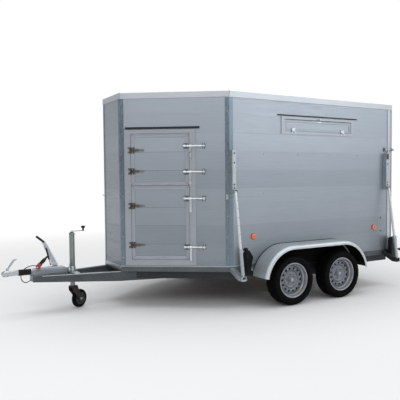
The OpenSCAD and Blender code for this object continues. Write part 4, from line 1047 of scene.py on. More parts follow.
def add_lamps(name, side):
    piece = Piece(f"lamps_{name}_set", "chassis", "lens", *once("lamps", name == "left"), at=side)
    for x in (0.31, WALL_END - 0.291):
        place = shift(x, 0, 0.773) @ OUT
        piece.add("black_rubber", lathe([(0, 0), (0.035, 0), (0.035, 0.0035), (0.0336, 0.0052),
            (0, 0.0052)], 44), place)
        piece.add("amber", lathe([(0, 0.004), (0.0326, 0.004), (0.033, 0.0078), (0.031, 0.011),
            (0.0255, 0.0131), (0.0243, 0.0126), (0.0231, 0.0134), (0.013, 0.0139), (0, 0.0142)], 44), place)
    right, top = LAMP_X + LAMP_W, 0.64 - LAMP_W / 2
    arch = [(LAMP_X, WALL_LOW + 0.002), (right, WALL_LOW + 0.002)]
    arch += arc(LAMP_X + LAMP_W / 2, top, LAMP_W / 2, 0, 180, 16)
    piece.add("black_plastic", slab(arch, -0.105, -0.0405, 0.004))
    piece.add("black_plastic", block(LAMP_X, right, -0.105, -0.008, 0.38, WALL_LOW + 0.001, 0.004))
    rim = [(LAMP_X + LAMP_W / 2 + (u - LAMP_X - LAMP_W / 2) * 0.8, top + (v - top)
        * (0.8 if v > top else 0.93)) for u, v in arch]
    piece.add("black_plastic", slab(rim, -0.1065, -0.1, 0.0015))
    for finish, low, high in (("amber", 0.505, 0.56), ("red_lens", 0.436, 0.498),
            ("clear_lens", 0.412, 0.43), ("red_lens", 0.386, 0.408)):
        inner = -0.012 if high < WALL_LOW else -0.046
        piece.add(finish, block(right - 0.04, right + 0.0015, -0.1068, inner, low, high, 0.003))
    stalk = [(LAMP_X + 0.078, -0.1, 0.486), (LAMP_X + 0.078, -0.125, 0.484),
        (LAMP_X + 0.078, -0.15, 0.4855), (LAMP_X + 0.078, -0.163, 0.486)]
    piece.add("black_rubber", tube(smooth_line(stalk), 0.0062, 14))
    for k in range(5):
        piece.add("black_rubber", rod(0.0082, 0.0035, 0.0012, 20), shift(LAMP_X + 0.078, -0.112 - 0.007 * k,
            0.485) @ OUT)
    head = shift(LAMP_X + 0.058, -0.166, 0.486) @ ALONG
    piece.add("black_rubber", lathe([(0, 0.008), (0.0165, 0.008), (0.018, 0.01), (0.018, 0.03),
        (0.0165, 0.032), (0, 0.032)], 32), head)
    piece.add("red_lens", lathe([(0, 0.031), (0.0152, 0.031), (0.0145, 0.0365), (0.01, 0.0395),
        (0, 0.0402)], 32), head)
    piece.add("red_lens", lathe([(0, 0.009), (0.0152, 0.009), (0.0145, 0.0035), (0.01, 0.0005), (0, 0)],
        32), head)
    piece.done()


# ---- wheel chocks on their brackets ----
CHOCK = [(0.15, 0.648), (0.185, 0.636), (0.234, 0.562), (0.212, 0.49), (0.196, 0.395), (0.162, 0.395),
    (0.15, 0.52)]


def add_chock(name, side):
    piece = Piece(f"chock_{name}_wedge", "chassis", "black_plastic", *once("wheel_chocks", name == "left"),
        at=side)
    middle = Vector((0.188, 0.525))
    piece.add("chock_plastic", slab(CHOCK, -0.0985, -0.018, 0.005))
    for k in range(len(CHOCK)):
        a, b = Vector(CHOCK[k - 1]), Vector(CHOCK[k])
        c, d = (middle + (q - middle) * 0.86 for q in (b, a))
        piece.add("chock_plastic", slab([tuple(a), tuple(b), tuple(c), tuple(d)], -0.104, -0.0975, 0.0012))
    for t in (0.25, 0.5, 0.75):
        a = Vector(CHOCK[1]).lerp(Vector(CHOCK[2]), t)
        b = Vector(CHOCK[6]).lerp(Vector(CHOCK[4]), t)
        across = (b - a).normalized().orthogonal() * 0.003
        piece.add("chock_plastic", slab([tuple(a - across), tuple(a + across), tuple(b + across),
            tuple(b - across)], -0.1035, -0.097, 0.001))
        # lighter grey teeth across the sloped grip face
        grip = (Vector(CHOCK[2]) - Vector(CHOCK[1])).normalized()
        lift = Vector((-grip.y, grip.x)) * 0.003
        lift = lift if lift.x + lift.y > 0 else -lift
        piece.add("chock_grip_grey", slab([tuple(a - grip * 0.006), tuple(a + grip * 0.006),
            tuple(a + grip * 0.003 + lift), tuple(a - grip * 0.003 + lift)], -0.1, -0.022, 0.0006))
    piece.add("black_plastic", block(0.153, 0.18, -0.084, -0.04, 0.64, 0.662, 0.003))
    piece.add("galvanised", block(0.152, 0.205, -0.0185, 0, 0.5, 0.6, 0.0015))
    foot = [(0.222, 0.398), (0.27, 0.398), (0.27, 0.446), (0.262, 0.458), (0.23, 0.458), (0.222, 0.446)]
    piece.add("zinc", slab(foot, -0.0105, -0.006, 0.001))
    piece.add("zinc", block(0.2665, 0.27, -0.05, -0.006, 0.402, 0.442, 0.001))
    for z in (0.412, 0.444):
        piece.add("zinc", bolt_head(0.0055), shift(0.246, -0.0105, z) @ OUT)
    piece.done()


for side_name, side_frame in SIDES.items():
    add_lamps(side_name, side_frame)
    add_chock(side_name, side_frame)


# ---- overrun housing, bellows and coupling ----
LEVER = joint_place("handbrake_pull")
HANDLE = joint_place("coupling_handle_lift")
TIP_X, BALL_Z = HANDLE.x - 0.062, 0.452
HOUSE_X0, HOUSE_X1 = LEVER.x - 0.255, LEVER.x + 0.123
HOUSE_Z, HOUSE_TOP = SILL_Z + 0.008, SILL_Z + 0.08


def add_housing():
    piece = Piece("overrun_housing_casting", "chassis", "galvanised", "overrun_housing", at=BODY)
    x0, x1 = HOUSE_X0, HOUSE_X1
    side = [(x0 + 0.003, HOUSE_Z - 0.001), (x0 + 0.003, HOUSE_TOP - 0.034), (x0 + 0.02, HOUSE_TOP - 0.026),
        (x0 + 0.06, HOUSE_TOP - 0.021), (x1 - 0.02, HOUSE_TOP - 0.019), (x1, HOUSE_TOP - 0.03),
        (x1, HOUSE_Z - 0.001)]
    spine = [(x0 + 0.003, HOUSE_Z), (x0 + 0.003, HOUSE_TOP - 0.014), (x0 + 0.02, HOUSE_TOP - 0.006),
        (x0 + 0.06, HOUSE_TOP), (x1 - 0.04, HOUSE_TOP), (x1 - 0.004, HOUSE_TOP - 0.02),
        (x1 - 0.002, HOUSE_Z)]
    slot = block(LEVER.x - 0.09, LEVER.x + 0.06, -0.0064, 0.0064, HOUSE_Z + 0.004, HOUSE_TOP + 0.05, 0)
    for finish, outline, half in (("housing_steel", side, 0.05), ("galvanised", spine, 0.031)):
        bore = lathe([(0, -0.02), (0.0247, -0.02), (0.0247, 0.32), (0, 0.32)], 48)
        body = drilled(slab(outline, -half, half, 0.006), bore, shift(x0, 0, BALL_Z) @ ALONG)
        piece.add(finish, drilled(body, slot.copy()))
    piece.add("housing_steel", block(x0 + 0.014, x1, -0.06, 0.06, SILL_Z, HOUSE_Z, 0.0015))
    piece.add("housing_steel", block(x0, x0 + 0.014, -0.052, 0.052, SILL_Z - 0.055, HOUSE_Z, 0.002))
    for x in (x0 + 0.035, x0 + 0.15, x0 + 0.26, x1 - 0.02):
        for s in (-1, 1):
            piece.add("zinc", bolt_head(0.0042), shift(x, s * 0.0552, HOUSE_Z))
    for s in (-1, 1):
        for x in (x0 + 0.075, x0 + 0.145):
            pad = [(x, HOUSE_Z + 0.018), (x + 0.045, HOUSE_Z + 0.018), (x + 0.045, HOUSE_TOP - 0.034),
                (x, HOUSE_TOP - 0.034)]
            piece.add("housing_steel", side_slab(pad, s, 0.049, 0.0522, 0.0014))
        cheek = arc(LEVER.x, LEVER.z, 0.04, 0, 360, 40)[:-1]
        piece.add("housing_steel", side_slab(cheek, s, 0.0064, 0.0158, 0.0012))
        piece.add("zinc", bolt_head(0.0115), shift(LEVER.x, s * 0.0158, LEVER.z) @ turn(-s * 90, "X"))
        piece.add("zinc", bolt_head(0.006), shift(x0 + 0.0005, s * 0.036, SILL_Z - 0.035) @ turn(-90, "Y"))
    for x in (x0 + 0.098, x0 + 0.185):
        piece.add("zinc", lathe([(0, 0), (0.006, 0), (0.006, 0.003), (0.0035, 0.004), (0.0035, 0.009),
            (0.0025, 0.012), (0, 0.012)], 16), shift(x, 0, HOUSE_TOP - 0.001))
    piece.add("zinc", lathe([(0.0245, 0), (0.0345, 0), (0.0362, 0.002), (0.0362, 0.01), (0.0345, 0.012),
        (0.0245, 0.012)], 40, closed=True), shift(x0 - 0.0005, 0, BALL_Z) @ ALONG @ shift(0, 0, 0.0008))
    piece.done()


def add_bellows():
    piece = Piece("bellows_rubber", "chassis", "black_rubber", "bellows", at=BODY)
    length, folds, inner = 0.1247, 8, 0.0255
    profile = [(inner, 0.0), (0.0305, 0.0), (0.0312, 0.0008), (0.0312, 0.0048), (0.0296, 0.0058)]
    pitch = (length - 0.0116) / folds
    for k in range(folds):
        z = 0.0058 + k * pitch
        profile += [(0.0288, z + pitch * 0.08), (0.0318, z + pitch * 0.26), (0.0344, z + pitch * 0.4),
            (0.035, z + pitch * 0.5), (0.0344, z + pitch * 0.6), (0.0318, z + pitch * 0.74),
            (0.0288, z + pitch * 0.92)]
    profile += [(0.0296, length - 0.0058), (0.0312, length - 0.0048), (0.0312, length - 0.0008),
        (0.0305, length), (inner, length)]
    start = HOUSE_X0 - length - 0.0003
    piece.add("black_rubber", lathe(profile, 48, closed=True), shift(start, 0, BALL_Z) @ ALONG)
    bellows = piece.done()
    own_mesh(bellows)


def add_coupling():
    piece = Piece("coupling_head_shell", "coupling", "zinc", "coupling_head", at=BODY)
    head_x, z = HOUSE_X0 - 0.1283, BALL_Z
    stations = [(TIP_X, 0.012, 0.008, z, 2.0), (TIP_X + 0.002, 0.0195, 0.0135, z, 2.1),
        (TIP_X + 0.008, 0.0265, 0.0195, z + 0.0005, 2.3), (TIP_X + 0.018, 0.0305, 0.0255, z + 0.002, 2.4),
        (TIP_X + 0.03, 0.0325, 0.029, z + 0.0035, 2.5), (TIP_X + 0.044, 0.033, 0.03, z + 0.004, 2.6),
        (TIP_X + 0.06, 0.0325, 0.0295, z + 0.0038, 2.8), (TIP_X + 0.078, 0.0305, 0.028, z + 0.003, 3.2),
        (TIP_X + 0.096, 0.0285, 0.0265, z + 0.0015, 3.6), (TIP_X + 0.112, 0.0278, 0.026, z + 0.001, 4.0),
        (TIP_X + 0.15, 0.0278, 0.0262, z + 0.001, 4.0), (TIP_X + 0.153, 0.031, 0.0272, z + 0.001, 4.0),
        (TIP_X + 0.164, 0.031, 0.0272, z + 0.001, 4.0), (head_x, 0.029, 0.0262, z + 0.001, 4.0)]
    shell = loft(stations, 40)
    piece.add("zinc", drilled(shell, lathe([(0, -0.05), (0.0252, -0.05), (0.0254, -0.006), (0.0248, 0.004),
        (0.0225, 0.0118), (0.0185, 0.0176), (0.0125, 0.0222), (0.006, 0.0246), (0, 0.0252)], 40),
        shift(TIP_X + 0.044, 0, z)))
    piece.add("zinc", rod(0.024, HOUSE_X0 + 0.164 - head_x + 0.02, 0.001, 40),
        shift(head_x - 0.02, 0, z) @ ALONG)
    for s in (-1, 1):
        lug = arc(HANDLE.x, HANDLE.z, 0.012, -20, 200, 14) + [(HANDLE.x - 0.016, z + 0.026),
            (HANDLE.x + 0.016, z + 0.026)]
        piece.add("zinc", side_slab(lug, s, 0.0125, 0.0168))
        piece.add("zinc", dome(0.0055, 0.003), shift(HANDLE.x, s * 0.0168, HANDLE.z) @ turn(-s * 90, "X"))
        for x in (TIP_X + 0.12, head_x - 0.008):
            piece.add("zinc", bolt_head(0.0065), shift(x, s * (0.0275 if x < head_x - 0.02 else 0.03),
                z + 0.001) @ turn(-s * 90, "X"))
    piece.add("zinc", rod(0.003, 0.034, 0.0004, 16), shift(HANDLE.x, 0.017, HANDLE.z) @ OUT)
    piece.add("bronze", lathe([(0.0252, 0), (0.0285, 0), (0.0285, 0.003), (0.0252, 0.003)], 40, closed=True),
        shift(TIP_X + 0.044, 0, z - 0.0262))
    piece.done()


def add_coupling_handle():
    grip = Piece("coupling_handle_pressing", "coupling_release", "zinc", "coupling_handle",
        at=BODY @ shift(*HANDLE))
    outline = [(-0.007, 0.0), (-0.004, -0.0055), (0.004, -0.0055), (0.0075, -0.001), (0.03, 0.03),
        (0.07, 0.084), (0.092, 0.0965), (0.0945, 0.101), (0.092, 0.1055), (0.062, 0.1005), (0.055, 0.096),
        (0.02, 0.046)]
    for s in (-1, 1):
        grip.add("galvanised", side_slab(outline, s, 0.0088, 0.0118))
    web = [(-0.004, 0.0065), (0.02, 0.046), (0.055, 0.096), (0.062, 0.1005), (0.092, 0.1055),
        (0.0925, 0.1025), (0.063, 0.0975), (0.0575, 0.0935), (0.023, 0.0445), (0.001, 0.0065)]
    grip.add("zinc", slab(web, -0.01, 0.01, 0.0006))
    grip.add("black_rubber", block(0.074, 0.0935, -0.0098, 0.0098, 0.0965, 0.1035, 0.002))
    grip.done()


# ---- handbrake lever, its strut and the parked plug ----
def add_handbrake():
    piece = Piece("handbrake_lever_plate", "handbrake", "zinc", "handbrake_lever", at=BODY @ shift(*LEVER))
    front = [(0.03, -0.008), (0.024, 0.03), (0.016, 0.07), (-0.102, 0.304)]
    back = [(-0.134, 0.296), (-0.052, 0.11), (-0.03, 0.04), (-0.026, -0.008)]
    outline = front[1:] + back[:-1] + [(-0.022, -0.01), (-0.012, -0.022), (0, -0.0255), (0.014, -0.021),
        (0.024, -0.008)]
    plate = slab(outline, -0.0032, 0.0032, 0.0008)
    piece.add("galvanised", plate)
    rib = [(-0.012, 0.08), (-0.02, 0.078), (-0.1, 0.262), (-0.094, 0.266)]
    for a, b in ((-0.0052, -0.0028), (0.0028, 0.0052)):
        piece.add("galvanised", slab(rib, a, b, 0.001))
    for line in (front[1:], back[:-1]):
        piece.add("guard_lip", tube(smooth_line([(x, 0, z) for x, z in line], 5), 0.0052, 12))
    piece.add("zinc", lathe([(0.0086, -0.006), (0.0185, -0.006), (0.02, -0.005), (0.02, 0.005),
        (0.0185, 0.006), (0.0086, 0.006)], 32, closed=True), OUT)
    for k in range(9):
        a = 150 + 11 * k
        tooth = turn(-a, "Y") @ shift(0.0235, 0, 0)
        piece.add("zinc", block(-0.002, 0.0022, -0.003, 0.003, -0.0016, 0.0016, 0.0004), tooth)
    hold = shift(-0.118, 0, 0.3) @ turn(-50, "Y") @ shift(0, 0, -0.008)
    profile = [(0, 0), (0.0095, 0), (0.0112, 0.0015), (0.0118, 0.006)]
    for k in range(9):
        z = 0.012 + 0.0092 * k
        profile += [(0.0119, z), (0.0112, z + 0.0016), (0.0112, z + 0.003), (0.0119, z + 0.0046)]
    profile += [(0.012, 0.096), (0.0108, 0.101), (0.0075, 0.104), (0, 0.1045)]
    piece.add("black_rubber", lathe(profile, 32), hold)
    piece.done()


def add_strut():
    strut = Piece("brake_strut_gas", "handbrake", "black_plastic", "brake_strut", at=BODY @ shift(*LEVER))
    lie = shift(-0.098, -0.016, 0.244) @ turn(166.5, "Y")
    strut.add("black_plastic", lathe([(0, -0.002), (0.0065, -0.002), (0.0085, 0.0), (0.009, 0.003),
        (0.009, 0.136), (0.0078, 0.1395), (0.0055, 0.14), (0.0055, 0.143), (0, 0.143)], 28), lie)
    strut.add("cast_black", rod(0.004, 0.205, 0.0008, 18), lie)
    strut.add("cast_black", lathe([(0, 0.188), (0.0062, 0.188), (0.0066, 0.19), (0.0066, 0.203),
        (0.005, 0.2055), (0, 0.2055)], 20), lie)
    strut.add("zinc", rod(0.005, 0.0185, 0.0008, 20), shift(-0.098, -0.0063, 0.244) @ OUT)
    strut.add("zinc", lathe([(0, 0), (0.0085, 0), (0.0085, 0.003), (0.006, 0.0042), (0, 0.0042)], 20),
        shift(-0.098, -0.0245, 0.244) @ OUT)
    strut.done()


def add_plug():
    piece = Piece("parked_plug_holder", "chassis", "plug_plastic", "parked_plug", at=BODY)
    place = shift(LEVER.x - 0.192, -0.046, HOUSE_TOP + 0.0166) @ turn(45, "Y")
    piece.add("red_plastic", lathe([(0, 0), (0.0185, 0), (0.0205, 0.0015), (0.0215, 0.005), (0.0215, 0.03),
        (0.0228, 0.0315), (0.0232, 0.034), (0.0232, 0.04), (0.022, 0.042), (0, 0.042)], 40), place)
    for k in range(6):
        piece.add("red_plastic", block(0.0205, 0.0229, -0.0022, 0.0022, 0.004, 0.032, 0.0008),
            place @ turn(60 * k, "Z"))
    piece.add("red_plastic", block(-0.02, 0.02, -0.006, 0.016, -0.012, 0.002, 0.002),
        shift(LEVER.x - 0.184, -0.04, HOUSE_TOP + 0.002))
    body = [(0, 0.041), (0.0178, 0.041), (0.019, 0.043), (0.019, 0.058), (0.0182, 0.06), (0.0182, 0.064),
        (0.019, 0.066), (0.019, 0.094), (0.0178, 0.1), (0.015, 0.11), (0.0128, 0.116), (0.0115, 0.118),
        (0.0115, 0.124), (0.0102, 0.126), (0.0102, 0.13), (0.0112, 0.132), (0.0112, 0.136), (0.0098, 0.138),
        (0.0095, 0.1425), (0.0078, 0.146), (0.0066, 0.152), (0, 0.152)]
    piece.add("black_plastic", lathe(body, 40), place)
    for k in range(14):
        piece.add("black_plastic", block(0.018, 0.0199, -0.0011, 0.0011, 0.068, 0.094, 0.0005),
            place @ turn(360 * k / 14, "Z"))
    piece.done()


add_housing()
add_bellows()
add_coupling()
add_coupling_handle()
add_handbrake()
add_strut()
add_plug()


# ---- jockey wheel ----
JOCKEY = joint_place("jockey_swivel")
CASTER = joint_place("jockey_roll")
TRAIL = math.hypot(CASTER.x - JOCKEY.x, CASTER.y - JOCKEY.y)
FORK_TURN = math.degrees(math.atan2(CASTER.y - JOCKEY.y, CASTER.x - JOCKEY.x))
FORK_Z, JOCKEY_TOP = 0.258, 0.838
FORK = BODY @ shift(JOCKEY.x, 0, 0) @ turn(FORK_TURN, "Z")


def add_jockey_outer():
    x, z = JOCKEY.x, SILL_Z
    outer = Piece("jockey_outer_tube", "chassis", "jockey_steel", "jockey_outer", at=BODY @ shift(x, 0, 0))
    outer.add("jockey_steel", lathe([(0.0243, z - 0.012), (0.028, z - 0.012), (0.0285, z - 0.011),
        (0.0285, JOCKEY_TOP - 0.03), (0.03, JOCKEY_TOP - 0.028), (0.03, JOCKEY_TOP - 0.004),
        (0.0285, JOCKEY_TOP), (0.01, JOCKEY_TOP + 0.0005), (0.0095, JOCKEY_TOP - 0.004),
        (0.0095, JOCKEY_TOP - 0.02), (0.0243, JOCKEY_TOP - 0.022)], 48, closed=True))
    outer.add("zinc", lathe([(0.0285, z + 0.0145), (0.0335, z + 0.0145), (0.0352, z + 0.016),
        (0.0352, z + 0.028), (0.0335, z + 0.03), (0.0335, z + 0.05), (0.0352, z + 0.052),
        (0.0352, z + 0.064), (0.0335, z + 0.0655), (0.0285, z + 0.0655)], 48, closed=True))
    bore = rod(0.0064, 0.1, 0, 28)
    bore.transform(shift(-0.048, 0.05, z + 0.04) @ OUT)
    outer.add("zinc", drilled(block(-0.0605, -0.026, -0.0092, 0.0092, z + 0.0205, z + 0.0595, 0.003), bore))
    for s in (-1, 1):
        outer.add("zinc", block(-0.04, -0.031, s * 0.009 - 0.004, s * 0.009 + 0.004, z + 0.018, z + 0.062,
            0.0015))
    hole = lathe([(0, z - 0.02), (0.0288, z - 0.02), (0.0288, z + 0.03), (0, z + 0.03)], 40)
    outer.add("galvanised", drilled(block(-0.033, 0.033, -0.19, 0.19, z + 0.0002, z + 0.0138, 0.002), hole))
    for s in (-1, 1):
        for u in (-0.02, 0.02):
            outer.add("zinc", bolt_head(0.0085), shift(u, s * 0.165, z + 0.0138))
    outer.add("cast_black", lathe([(0.0098, JOCKEY_TOP), (0.02, JOCKEY_TOP), (0.021, JOCKEY_TOP + 0.002),
        (0.018, JOCKEY_TOP + 0.006), (0.0098, JOCKEY_TOP + 0.007)], 36, closed=True))
    outer.done()


def add_jockey_clamp():
    place = BODY @ shift(JOCKEY.x - 0.048, 0, SILL_Z + 0.04)
    clamp = Piece("jockey_clamp_bar", "jockey_clamp", "zinc", "jockey_clamp_lever", at=place)
    clamp.add("zinc", rod(0.006, 0.074, 0.001, 28), shift(0, 0.022, 0) @ OUT)
    for k in range(14):
        clamp.add("zinc", lathe([(0.0058, 0), (0.0062, 0.0006), (0.0058, 0.0012)], 24, closed=True),
            shift(0, -0.016 - 0.0022 * k, 0) @ OUT)
    clamp.add("zinc", lathe([(0, 0), (0.0105, 0), (0.012, 0.0015), (0.012, 0.0175), (0.0105, 0.019),
        (0, 0.019)], 32), shift(0, -0.051, 0) @ OUT)
    clamp.add("zinc", lathe([(0, -0.022), (0.0055, -0.022), (0.0068, -0.0205), (0.0068, -0.0165),
        (0.0055, -0.015), (0.0055, 0.055), (0.0068, 0.0565), (0.0068, 0.0605), (0.0055, 0.062), (0, 0.062)],
        24), shift(0, -0.06, 0))
    clamp.done()


def add_jockey_inner():
    place = BODY @ shift(JOCKEY.x, 0, 0)
    inner = Piece("jockey_inner_tube", "jockey_leg", "jockey_steel", "jockey_inner", at=place)
    inner.add("jockey_steel", lathe([(0.0125, FORK_Z + 0.0004), (0.0232, FORK_Z + 0.0004),
        (0.024, FORK_Z + 0.0014), (0.024, FORK_Z + 0.415), (0.01, FORK_Z + 0.415), (0.01, FORK_Z + 0.06),
        (0.0125, FORK_Z + 0.04)], 44, closed=True))
    for k in range(3):
        inner.add("jockey_steel", dome(0.0035, 0.0006), turn(120 * k + 40, "Z") @ shift(0.0238, 0,
            FORK_Z + 0.018) @ ALONG)
    inner.done()


def add_jockey_fork():
    fork = Piece("jockey_fork_pressing", "jockey_caster", "cast_black", "jockey_fork", at=FORK)
    y, t = 0.029, 0.005
    fork.add("fork_brown", rod(0.012, 0.042, 0.001), shift(0, 0, FORK_Z - 0.006))
    top = [(-0.03, FORK_Z - 0.014), (-0.03, FORK_Z - 0.003), (-0.027, FORK_Z - 0.0003),
        (0.04, FORK_Z - 0.0003), (0.044, FORK_Z - 0.004), (0.044, FORK_Z - 0.014)]
    fork.add("fork_brown", slab(top, -y - t, y + t, 0.0025))
    fork.add("fork_brown", lathe([(0.0125, FORK_Z - 0.0225), (0.021, FORK_Z - 0.0225),
        (0.024, FORK_Z - 0.019), (0.024, FORK_Z - 0.013), (0.0125, FORK_Z - 0.013)], 36, closed=True))
    r = CASTER.z
    cheek = [(-0.03, FORK_Z - 0.012), (-0.0295, FORK_Z - 0.03), (-0.026, FORK_Z - 0.052),
        (TRAIL - 0.05, 0.122), (TRAIL - 0.022, 0.088)]
    cheek += arc(TRAIL, r, 0.0205, 215, 375, 10) + [(TRAIL - 0.01, 0.15), (0.06, 0.205),
        (0.044, FORK_Z - 0.012)]
    for s in (-1, 1):
        fork.add("fork_brown", side_slab(cheek, s, y, y + t, 0.0012))
        rib = [(-0.012, FORK_Z - 0.03), (-0.004, FORK_Z - 0.03), (TRAIL - 0.02, r + 0.016),
            (TRAIL - 0.028, r + 0.008)]
        fork.add("fork_brown", side_slab(rib, s, y + t - 0.0005, y + t + 0.0025, 0.001))
        fork.add("zinc", bolt_head(0.0105), shift(TRAIL, s * (y + t), r) @ turn(-s * 90, "X"))
    fork.add("zinc", rod(0.008, 2 * (y + t) + 0.014, 0.001, 24), shift(TRAIL, y + t + 0.007, r) @ OUT)
    fork.done()


def add_jockey_wheel():
    r = CASTER.z
    wheel = Piece("jockey_wheel_solid", "jockey_roller", "black_rubber", "jockey_wheel",
        at=FORK @ shift(TRAIL, 0, r) @ OUT)
    w, tread = 0.025, []
    for s in (1, -1):
        half = [(0.068, s * 0.0215), (0.071, s * 0.0242), (0.078, s * 0.025), (0.086, s * 0.0247),
            (0.092, s * 0.0225), (0.0965, s * 0.018), (0.099, s * 0.012), (0.0998, s * 0.0065),
            (0.0985, s * 0.0055), (0.0985, s * 0.0035), (r, s * 0.0025)]
        tread += half if s > 0 else half[::-1]
    wheel.add("tyre", lathe(tread + [(0.068, -0.0215), (0.064, -0.01), (0.064, 0.01)][1:], 72, closed=True))
    hub = mirrored([(0.0083, -w - 0.002), (0.019, -w - 0.002), (0.0205, -w), (0.0215, -0.014),
        (0.026, -0.0105), (0.05, -0.0105), (0.057, -0.0135), (0.0605, -0.0215), (0.0635, -0.0235),
        (0.0675, -0.023)])
    wheel.add("jockey_hub", lathe(hub, 64, closed=True))
    for s in (-1, 1):
        for k in range(6):
            rib = block(0.02, 0.058, -0.002, 0.002, min(s * 0.009, s * 0.0195), max(s * 0.009, s * 0.0195),
                0.0008)
            wheel.add("jockey_hub", rib, turn(60 * k + 12, "Z"))
    wheel.done()


def add_jockey_crank():
    place = BODY @ shift(JOCKEY.x, 0, JOCKEY_TOP)
    crank = Piece("jockey_crank_handle", "jockey_handle", "zinc", "jockey_crank", at=place)
    crank.add("zinc", rod(0.009, 0.384, 0.001, 28), shift(0, 0, -0.37))
    for k in range(40):
        crank.add("zinc", lathe([(0.0086, 0), (0.0091, 0.0012), (0.0086, 0.0024)], 20, closed=True),
            shift(0, 0, -0.365 + 0.0032 * k))
    crank.add("zinc", lathe([(0, 0.006), (0.0125, 0.006), (0.0135, 0.008), (0.0135, 0.021),
        (0.0105, 0.0245), (0, 0.0248)], 28))
    arm = arc(0, 0, 0.0118, 90, 270, 12) + [(0.13, -0.0085)] + arc(0.128, 0, 0.0105, -70, 70,
        10) + [(0.13, 0.0085)]
    plate = slab(arm, -0.003, 0.003, 0.001)
    crank.add("housing_steel", plate, shift(0, 0, 0.017) @ OUT)
    knob = [(0, 0.02), (0.0118, 0.02), (0.0125, 0.0215), (0.01, 0.027), (0.0095, 0.038), (0.013, 0.046),
        (0.0205, 0.0515), (0.0225, 0.056), (0.0226, 0.0625), (0.0205, 0.068), (0.0135, 0.071), (0, 0.0718)]
    crank.add("black_plastic", lathe(knob, 36), shift(0.127, 0, 0))
    crank.done()


add_jockey_outer()
add_jockey_clamp()
add_jockey_inner()
add_jockey_fork()
add_jockey_wheel()
add_jockey_crank()


# ---- ramp props ----
PROP_FOOT = Vector((0, -(HALF_W + 0.214), 0.382))
PROP_HEAD = Vector((0, -(HALF_W + RAIL_OUT + 0.018), 1.283))
PROP_TILT = math.degrees(math.atan2(PROP_HEAD.y - PROP_FOOT.y, PROP_HEAD.z - PROP_FOOT.z))
PROP_LEN = (PROP_HEAD - PROP_FOOT).length


def add_brackets():
    """The posts' rails with their holes, the props' cups, and the outriggers that carry the props' feet."""
    top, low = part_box("prop_brackets")[1].z, PROP_HEAD.z - 0.028
    w, out, t = RAIL_W, RAIL_OUT, 0.004
    first = True
    for end, x in RAILS.items():
        for name, flip in (("left", Matrix()), ("right", FLIP)):
            piece = Piece(f"prop_{end}_{name}_bracket", "chassis", "galvanised",
                *once("prop_brackets", first), at=flip @ LEFT @ shift(x, 0, 0))
            first = False
            back = -0.004 if end == "front" else 0.0
            channel = [(0, back), (0, -out), (w, -out), (w, back), (w - t, back), (w - t, -out + t),
                (t, -out + t), (t, back)]
            holes = bmesh.new()
            levels = [top - 0.035, top - 0.138, PROP_HEAD.z + 0.066, PROP_HEAD.z + 0.031]
            for z in levels:
                drill = lathe([(0, -0.02), (0.0078, -0.02), (0.0078, 0.02), (0, 0.02)], 24)
                drill.transform(shift(w / 2, -out, z) @ OUT)
                merge(holes, drill)
            piece.add("galvanised", drilled(upright(channel, low, top - t), holes))
            piece.add("galvanised", block(0, w, -out, back, top - t, top, 0.0012))
            # painted shade: a black strip inside the channel and a thin black disc over each hole stand in for
            # the shade in the holes
            piece.add("black_rubber", block(t + 0.001, w - t - 0.001, -out + t + 0.0008, -out + t + 0.002,
                low + 0.004, top - t - 0.001, 0))
            for z in levels:
                piece.add("cast_black", lathe([(0.0, 0.0004), (0.0096, 0.0004), (0.0096, 0.0012),
                    (0.0, 0.0012)], 24), shift(w / 2, -out, z) @ OUT)
            cup = PROP_HEAD.y + HALF_W - 0.018
            piece.add("galvanised", block(0, w, cup, -out, PROP_HEAD.z + 0.009, PROP_HEAD.z + 0.014, 0.001))
            for s in (-1, 1):
                piece.add("galvanised", block(w / 2 + s * 0.0195 - 0.003, w / 2 + s * 0.0195 + 0.003, cup,
                    -out, PROP_HEAD.z - 0.022, PROP_HEAD.z + 0.009, 0.001))
            if end == "rear":
                piece.add("cast_black", block(0.003, w - 0.003, -out - 0.0022, -out, top - 0.078,
                    top - 0.008, 0.0008))
                piece.add("dark_red", block(0.007, w - 0.007, -out - 0.0036, -out - 0.002, top - 0.068,
                    top - 0.014, 0.0008))
            foot_y, foot_z = PROP_FOOT.y + HALF_W, PROP_FOOT.z
            profile = [(-0.006, SILL_Z + 0.048), (-0.006, SILL_Z + 0.004), (foot_y + 0.05, foot_z - 0.042),
                (foot_y - 0.022, foot_z - 0.042), (foot_y - 0.022, foot_z + 0.008),
                (foot_y + 0.05, foot_z + 0.008)]
            arm = slab([(-y, z) for y, z in profile], -0.03, 0.03, 0.002)
            arm.transform(shift(w / 2, 0, 0) @ turn(-90, "Z"))
            pocket = block(w / 2 - 0.02, w / 2 + 0.02, foot_y - 0.04, foot_y + 0.032, foot_z - 0.024,
                foot_z + 0.03, 0)
            # painted shade: the rear outriggers take the darkened copy of the galvanised steel, the front ones
            # the plain galvanised
            piece.add("galvanised" if end == "front" else "under_steel_painted_shade", drilled(arm, pocket))
            piece.done()


